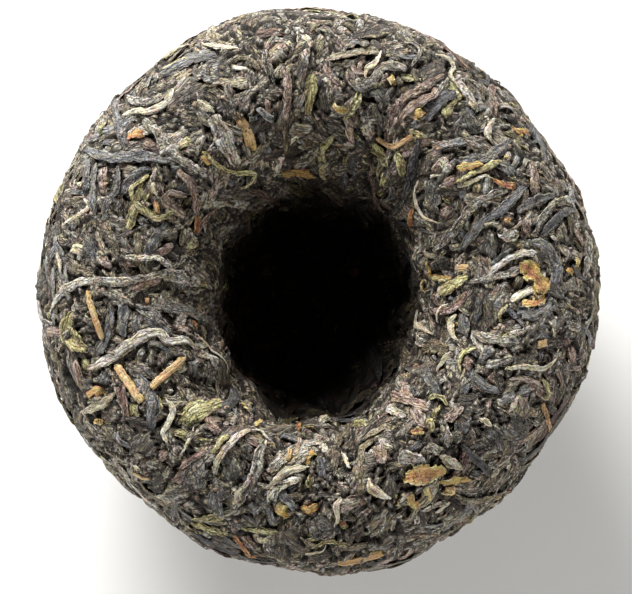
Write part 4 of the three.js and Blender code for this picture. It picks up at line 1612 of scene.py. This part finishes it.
@dataclass(frozen=True)
class Core:
    """The pressed mass under the strips, which shows between them: a mosaic of torn leaf fragments.

    Its points lie in rings, as far from one another round the nest as along it.
    """

    form: NestForm
    sink: float = 0.53  # how far its mean surface lies under the form
    pitches: tuple = ((1.6, 0.9), (1.9, 0.35), (4.1, 0.35), (4.5, 1.0))  # along, and millimetres there
    fewest_round: int = 8  # points in a ring
    fragments: int = 2500
    half_width: tuple[float, float] = (0.45, 1.25)
    half_length: tuple[float, float] = (1.2, 3.6)
    lift: float = 0.3  # how far a fragment lies over or under the mean, at most
    tilt: float = 0.2  # millimetres a millimetre
    most_tilted: float = 0.3  # millimetres
    crown: float = 0.16  # how much higher its middle is than its edge
    fold: float = 0.22  # height of the folds along it
    fold_pitch: tuple[float, float] = (0.9, 1.6)
    fold_bend: float = 1.1  # radians a millimetre, of the waves in a fold's line
    groove: float = 0.42  # depth of the grooves between fragments
    groove_share: float = 0.26  # of a fragment's half-width, over which its edge falls
    edge: tuple[float, float] = (1.3, 0.6)  # place and reach of its pale edge, in groove shares
    relief_begins: tuple[float, float] = (0.1, 0.6)  # along, so that the flat spot is smooth
    slow_bend: tuple[float, float] = (0.4, 1.3)  # of the edges: millimetres, and radians a millimetre
    quick_bend: tuple[float, float] = (0.16, 3.4)
    grain_start: float = 60.0  # millimetres from which each fragment's pattern starts at random
    grit_range: tuple[float, float] = (0.3, 1.8)  # how strongly it is streaked and mottled
    pale: tuple[float, float] = (0.28, 0.6)  # how pale a fragment of shade 0 is, and what shade 1 adds
    depth_shade: float = 0.22  # painted shade: how much less pale it is for each millimetre deeper
    depth_shade_span: tuple[float, float] = (0.5, 1.0)  # the depth at which that begins, and how far it goes on
    unlit: float = 0.72  # painted shade: how much less pale the mass deep in the hollow is
    rim: tuple[float, float, float] = (1.2, 0.9, 2.0)  # painted highlight and shade on the folds, how pale the edges are, and painted shade in the grooves
    fold_level: float = 0.6  # share of a fold's height that the painted shading leaves neither pale nor dark
    # shades of the foot's pole and of the hollow floor's pole; the floor's is darker by the hollow's painted
    # shade
    pole_shades: tuple[float, float] = (0.4, -0.2)
    seed: int = 11

    def rings(self) -> tuple[Array, Array]:
        """Shares out its rings of points.

        Returns:
            The place along the profile of each ring, and how many points it has.
        """
        fine = np.linspace(0, FLOOR, FINE_PLACES)
        points = self.form.profile(fine)[0]
        places, pitches = zip(*self.pitches)
        steps = np.linalg.norm(np.diff(points, axis=0), axis=1) / np.interp(fine[1:], places, pitches)
        total = np.concatenate([[0.0], np.cumsum(steps)])
        count = int(total[-1])
        along = np.interp(np.arange(1, count) * total[-1] / count, total, fine)
        radius = self.form.profile(along)[0][:, 0]
        around = np.rint(2 * math.pi * radius / np.interp(along, places, pitches))
        return along, np.maximum(self.fewest_round, around).astype(int)

    def torn(self) -> Fragments:
        """Draws the fragments at random places, evenly by area, each turned its own way.

        Returns:
            The fragments.
        """
        random = np.random.default_rng(self.seed)
        cells = Layers(self.form)
        picked = random.choice(len(cells.cell_along), self.fragments, replace=False)
        patch = self.form.patch(cells.cell_along[picked], cells.cell_angle[picked])
        n = self.fragments
        heading = random.uniform(0, 2 * math.pi, (n, 1))
        ahead = np.cos(heading) * patch.down + np.sin(heading) * patch.round
        side = np.cross(patch.out, ahead)
        wide = random.uniform(*self.half_width, n)
        return Fragments(
            patch.point, (side, patch.out, ahead), (wide, wide, random.uniform(*self.half_length, n)),
            self.lift * random.uniform(-1, 1, n), tuple(self.tilt * random.uniform(-1, 1, (2, n))),
            random.uniform(*self.fold_pitch, n), random.uniform(0, 1, n),
            random.uniform(0, self.grain_start, (n, 3)), random.uniform(*self.grit_range, n),
        )

    def bent(self, points: Array) -> Array:
        """Moves points to and fro by slow and quick sines, so that fragments' edges are wavy.

        Args:
            points: places in millimetres.

        Returns:
            The places moved.
        """
        (slow, slow_rate), (quick, quick_rate) = self.slow_bend, self.quick_bend
        slowly = np.sin(points[:, [1, 2, 0]] * slow_rate + (0.0, 2.0, 4.0))
        quickly = np.sin(points[:, [2, 0, 1]] * quick_rate + (1.0, 3.0, 5.0))
        return points + slow * slowly + quick * quickly

    @staticmethod
    def zipped(first: int, count: int, next_first: int, next_count: int) -> Array:
        """Triangles between two rings: every step round either ring, taken in order, closes one.

        Args:
            first, count: the first ring's first point and number of points.
            next_first, next_count: the same of the next ring.

        Returns:
            The triangles' corners.
        """
        at = np.concatenate([(np.arange(count) + 0.5) / count, (np.arange(next_count) + 0.5) / next_count])
        order = np.argsort(at, kind="stable")
        on_first = order < count
        i = np.cumsum(on_first) - on_first
        j = np.cumsum(~on_first) - ~on_first
        here, there = first + i % count, next_first + j % next_count
        ahead = np.where(on_first, first + (i + 1) % count, next_first + (j + 1) % next_count)
        return np.stack([ahead, there, here], axis=-1)

    def faces(self, counts: Array) -> Array:
        """Joins the rings, and closes the first and the last round a pole.

        Args:
            counts: how many points each ring has. The two poles' points follow the rings'.

        Returns:
            The triangles' corners.
        """
        starts = np.concatenate([[0], np.cumsum(counts)])
        bands = [
            self.zipped(starts[k], counts[k], starts[k + 1], counts[k + 1])
            for k in range(len(counts) - 1)
        ]
        foot, last = np.arange(counts[0]), starts[-2] + np.arange(counts[-1])
        pole = starts[-1]
        bands.append(np.stack([np.full(len(foot), pole), np.roll(foot, -1), foot], axis=-1))
        bands.append(np.stack([np.full(len(last), pole + 1), last, np.roll(last, -1)], axis=-1))
        return np.concatenate(bands)

    def build(self) -> bpy.types.Object:
        """Builds it: each fragment is crowned, tilted and folded along itself, and falls at its edges.

        Returns:
            The object.
        """
        ring_along, counts = self.rings()
        along = np.repeat(ring_along, counts)
        angle = np.concatenate([2 * math.pi * np.arange(n) / n for n in counts])
        smooth = self.form.place(along, angle)
        torn = self.torn()
        owner, spare = torn.nearest(self.bent(smooth))
        gap = smooth - torn.middle[owner]
        aside, outward, ahead = (dot(gap, axis[owner]) for axis in torn.axes)
        half_width, _, half_length = (half[owner] for half in torn.halves)
        away = np.hypot(aside / half_width, ahead / half_length)
        fold_line = math.pi * aside / torn.fold_pitch[owner] + np.sin(self.fold_bend * ahead + owner)
        fold = 1 - np.abs(np.sin(fold_line))
        inside = rise(spare, 0.0, self.groove_share)
        tilted = torn.tilt[0][owner] * aside + torn.tilt[1][owner] * ahead
        height = torn.lift[owner] + tilted.clip(-self.most_tilted, self.most_tilted)
        height = height + self.crown * (1 - away.clip(0, 1) ** 2)
        height = height + self.fold * (fold - 0.5) - self.groove * (1 - inside)
        clear = rise(along, *self.relief_begins)
        body = self.form.place(along, angle, clear * (self.sink - np.minimum(height, self.sink)))
        poles = self.form.place(np.array([0.0, FLOOR]), np.zeros(2), self.sink * np.array([0.0, 1.0]))
        points = np.concatenate([body, poles])
        points[:, 2] = np.maximum(points[:, 2], LOWEST)

        grain = np.stack([aside, outward, ahead], axis=-1) + torn.grain_start[owner]
        # painted shade: the deeper a point lies under the form, the darker it is
        deeper = (self.sink - height - self.depth_shade_span[0]).clip(0, self.depth_shade_span[1])
        shade = self.pale[0] + self.pale[1] * torn.shade[owner] - self.depth_shade * deeper
        # painted shade on the mass deep in the hollow
        shade = shade - self.unlit * rise(along, *HOLLOW_SHADE_ENDS)
        edge = hump(spare - self.edge[0] * self.groove_share, self.edge[1] * self.groove_share)
        # painted highlight and shade on the folds, pale edges, and painted shade in the grooves between
        # fragments
        folded, edged, groove_shade = self.rim
        rim = folded * (fold - self.fold_level) + edged * edge - groove_shade * (1 - inside)
        looks = {
            "grain": np.concatenate([grain, poles]), "shade": np.append(shade, self.pole_shades),
            "rim": np.append(rim, np.zeros(2)), "grit": np.append(torn.grit[owner], np.ones(2)),
        }
        thing = mesh_object("leaf_core", points, np.zeros((0, 4), int), self.faces(counts), looks)
        finish = LeafFinish(
            "pressed_leaf_mass", ("#2a2219", "#4a443a", "#69655c", "#8b887f", "#b5b2a9"),
            tint="#f3ecba", second_tint="#ffd8d8", streak=1.6, mottle=2.9, wrinkle=0.34,
        )
        thing.data.materials.append(finish.material())
        return thing


@dataclass(frozen=True)
class Detail:
    """How finely a strip is built: sections along it and points round it."""

    steps: int
    sides: int


class PressedLeaves:
    """All the leaves of the nest, laid from the top down and built as one piece for each kind."""

    # Parts of each kind among the longer leaves and among the small ones.
    MIXED = {C: 24, P: 22, S: 24, O: 11, U: 14, B: 3, T: 1}
    SMALL = {C: 18, P: 20, S: 24, O: 15, U: 17, B: 3, T: 1.5, F: 3}
    HIDDEN = 0.55  # millimetres, below which the core hides a leaf
    LONG_LEAF = 5.5  # millimetres, above which a leaf that the photograph shows is built finely
    DEEPEST = 2.8  # millimetres that a leaf's top may go under the form
    DEEPEST_SHOWN = 3.0  # so deep may one that the photograph shows

    def __init__(self, form: NestForm, camera: PhotoCamera, seed: int) -> None:
        """Keeps the form and prepares the seeded random numbers.

        Args:
            form: the nest's form.
            camera: the photograph's camera.
            seed: where the random numbers start.
        """
        self.form, self.camera = form, camera
        self.random = np.random.default_rng(seed)
        self.laid: list[tuple[Strips, Detail]] = []

    def lots(self) -> tuple[tuple[Lot, Detail], ...]:
        """Lists the lots in the order they are laid: longer leaves first, then what fills between them.

        Returns:
            Each lot, and how finely its strips are built.
        """
        mixed, small = self.MIXED, self.SMALL
        broad, sheets, crumbs = {L: 1}, {Kind.SHEET: 1}, {Kind.CRUMB: 1}
        inwards = {"heading": (0.0, 0.6)}
        side_ways = {"heading": (math.pi / 2, 0.5)}
        hooks = {"bend": 0.5, "wander": 0.3}
        gaps = {"in_gaps": True, "tries": 5}
        # The share of a leaf that has to be free differs.
        clear, fair, tight, slits = ({**gaps, "least_seen": share} for share in (0.4, 0.35, 0.3, 0.15))
        return (
            (Lot(120, 2.35, 3.4, (7, 15), (1.1, 2.1), mixed), Detail(26, 14)),
            (Lot(60, 3.2, 4.1, (7, 13), (0.9, 1.8), mixed, **inwards), Detail(20, 12)),
            (Lot(170, 1.75, 2.45, (9, 19), (1.0, 2.0), mixed, **side_ways), Detail(20, 10)),
            (Lot(210, 0.0, 1.8, (8, 17), (1.3, 2.4), mixed), Detail(13, 8)),
            (Lot(80, 3.9, 5.0, (6, 12), (1.2, 2.2), mixed), Detail(9, 8)),
            (Lot(110, 2.3, 3.7, (4, 8), (0.6, 1.1), mixed, **clear, **hooks), Detail(18, 9)),
            (Lot(60, 2.2, 3.8, (4, 9), (2.4, 4.4), broad, (0.0, 0.3), **clear), Detail(22, 27)),
            (Lot(750, 2.3, 3.5, (4, 9), (0.9, 1.9), mixed, least_seen=0.42, **gaps), Detail(15, 12)),
            (Lot(200, 3.3, 4.2, (4, 8), (0.8, 1.6), mixed, **inwards, **clear), Detail(12, 9)),
            (Lot(320, 1.7, 2.4, (4, 10), (0.8, 1.7), mixed, **side_ways, **fair), Detail(11, 8)),
            (Lot(400, 0.0, 1.8, (5, 10), (1.1, 2.2), mixed, **fair), Detail(9, 6)),
            (Lot(120, 3.9, 5.0, (4, 9), (1.1, 2.0), mixed, **fair), Detail(7, 6)),
            (Lot(900, 2.1, 4.1, (2, 4.5), (0.7, 1.6), small, **clear), Detail(9, 8)),
            (
                Lot(160, 2.2, 3.8, (4, 8), (2.4, 4.0), broad, (0.1, 0.4), least_seen=0.2, **gaps),
                Detail(18, 21),
            ),
            (Lot(170, 0.0, 2.3, (5, 10), (3.0, 5.0), sheets, (0.3, 0.6), **slits), Detail(14, 15)),
            (Lot(60, 3.8, 5.0, (5, 9), (3.0, 4.5), sheets, (0.3, 0.6), **slits), Detail(12, 12)),
            (Lot(900, 1.8, 4.3, (2, 4.5), (0.5, 1.2), small, **tight), Detail(8, 7)),
            (Lot(400, 0.0, 1.8, (3, 7), (0.8, 1.6), small, **fair), Detail(6, 5)),
            (Lot(1500, 1.8, 4.3, (1.5, 3.5), (0.4, 0.9), small, (0.0, 0.4), **tight), Detail(6, 6)),
            (Lot(2000, 1.0, 4.4, (0.8, 2.0), (0.4, 0.8), crumbs, (0.0, 0.5), **tight), Detail(4, 4)),
        )

    def lay(self) -> None:
        """Lays the leaves that the photograph shows, and then every lot under them."""
        layers = Layers(self.form)
        thin = np.array([CUTS[kind].flatness for kind in KINDS])
        face = SeenFace(self.form, self.camera)
        shown = ShownLeaves(face, self.form).draw(SHOWN)
        shown = layers.lay(shown, 1, 0.0, self.DEEPEST_SHOWN, thin)
        long = shown.length > self.LONG_LEAF
        self.laid.append((shown.chosen(long), Detail(32, 16)))
        self.laid.append((shown.chosen(~long), Detail(16, 15)))
        spread = Spread(self.form, self.random)
        for lot, detail in self.lots():
            strips = layers.lay(spread.draw(lot, layers), lot.tries, lot.least_seen, self.DEEPEST, thin)
            strips = strips.chosen(strips.depth.min(axis=1) < self.HIDDEN)
            self.laid.append((strips, detail))
            log.info("laid %d of %d strips from along %.1f", len(strips.kind), lot.count, lot.begin)
        log.info("cells still bare: %.3f", float((layers.reach <= 0).mean()))

    def build(self) -> list[bpy.types.Object]:
        """Builds one piece for each kind.

        Returns:
            The pieces.
        """
        pieces = []
        for code, kind in enumerate(KINDS):
            mesh = StripMesh(self.form, self.random)
            for strips, detail in self.laid:
                mesh.add(strips.chosen(strips.kind == code), kind, detail.steps, detail.sides)
            thing = mesh.object(kind.value)
            thing.data.materials.append(FINISHES[kind].material())
            pieces.append(thing)
        return pieces


# ---------- The studio ----------


@dataclass(frozen=True)
class Studio:
    """A plain pale floor under a sky that is bright low down, with a soft globe light.

    The globe light hangs beyond the picture's top, a little to its left. Sizes are in metres.
    """

    floor_size: float = 4.0
    floor_colour: str = "#f0efec"
    floor_roughness: float = 0.9
    key_place: tuple[float, float, float] = (-0.2, 0.5, 0.25)
    key_radius: float = 0.17
    key_watts: float = 32.4
    band: tuple[float, float] = (0.3, 0.6)  # sines of the elevations between which the sky dims
    sky_low: float = 2.95
    sky_high: float = 0.0

    def build(self) -> None:
        """Makes the floor, the lights and the plain sky."""
        half = self.floor_size / 2
        corners = np.array([[-half, -half, 0], [half, -half, 0], [half, half, 0], [-half, half, 0]]) / MM
        floor = mesh_object("studio_floor", corners, np.array([[0, 1, 2, 3]]), np.zeros((0, 3), int), {})
        paper = bpy.data.materials.new("matt_pale_paper")
        paper.use_nodes = True
        shader = paper.node_tree.nodes["Principled BSDF"]
        shader.inputs["Base Color"].default_value = linear(self.floor_colour)
        shader.inputs["Roughness"].default_value = self.floor_roughness
        floor.data.materials.append(paper)
        self.key_light()
        self.sky_band()
        bpy.context.scene.view_settings.view_transform = "Standard"

    def sky_band(self) -> None:
        """Lights the room from all round, low down: bright at the horizon and dark overhead.

        Light from low down shows the leaves' relief and leaves the deep hollow dark.
        """
        world = bpy.data.worlds.new("studio")
        world.use_nodes = True
        tree = world.node_tree
        toward = add_node(tree, "ShaderNodeTexCoord", {}, {}).outputs["Generated"]
        parts = add_node(tree, "ShaderNodeSeparateXYZ", {}, {0: toward})
        strength = add_node(
            tree, "ShaderNodeMapRange", {"interpolation_type": "SMOOTHSTEP"},
            {0: parts.outputs["Z"], 1: self.band[0], 2: self.band[1], 3: self.sky_low, 4: self.sky_high},
        )
        tree.links.new(strength.outputs[0], tree.nodes["Background"].inputs["Strength"])
        tree.nodes["Background"].inputs["Color"].default_value = (1, 1, 1, 1)
        bpy.context.scene.world = world

    def key_light(self) -> None:
        """Hangs the globe light, whose radius softens its shadows."""
        data = bpy.data.lights.new("key_light", "POINT")
        data.shadow_soft_size = self.key_radius
        data.energy = self.key_watts
        light = bpy.data.objects.new("key_light", data)
        light.location = self.key_place
        bpy.context.scene.collection.objects.link(light)


def main() -> None:
    """Builds the camera, the nest's pieces and the studio, and reports each piece."""
    logging.basicConfig(level=logging.INFO, format="%(message)s")
    form = NestForm()
    camera = PhotoCamera()
    camera.make()
    leaves = PressedLeaves(form, camera, SEED)
    leaves.lay()
    pieces = [Core(form).build(), *leaves.build()]
    for piece in pieces:
        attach(piece, "root")
        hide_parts("tuocha")
        triangles = sum(len(p.vertices) - 2 for p in piece.data.polygons)
        log.info("%s: %d triangles", piece.name, triangles)
    Studio().build()


if __name__ == "__main__":
    main()
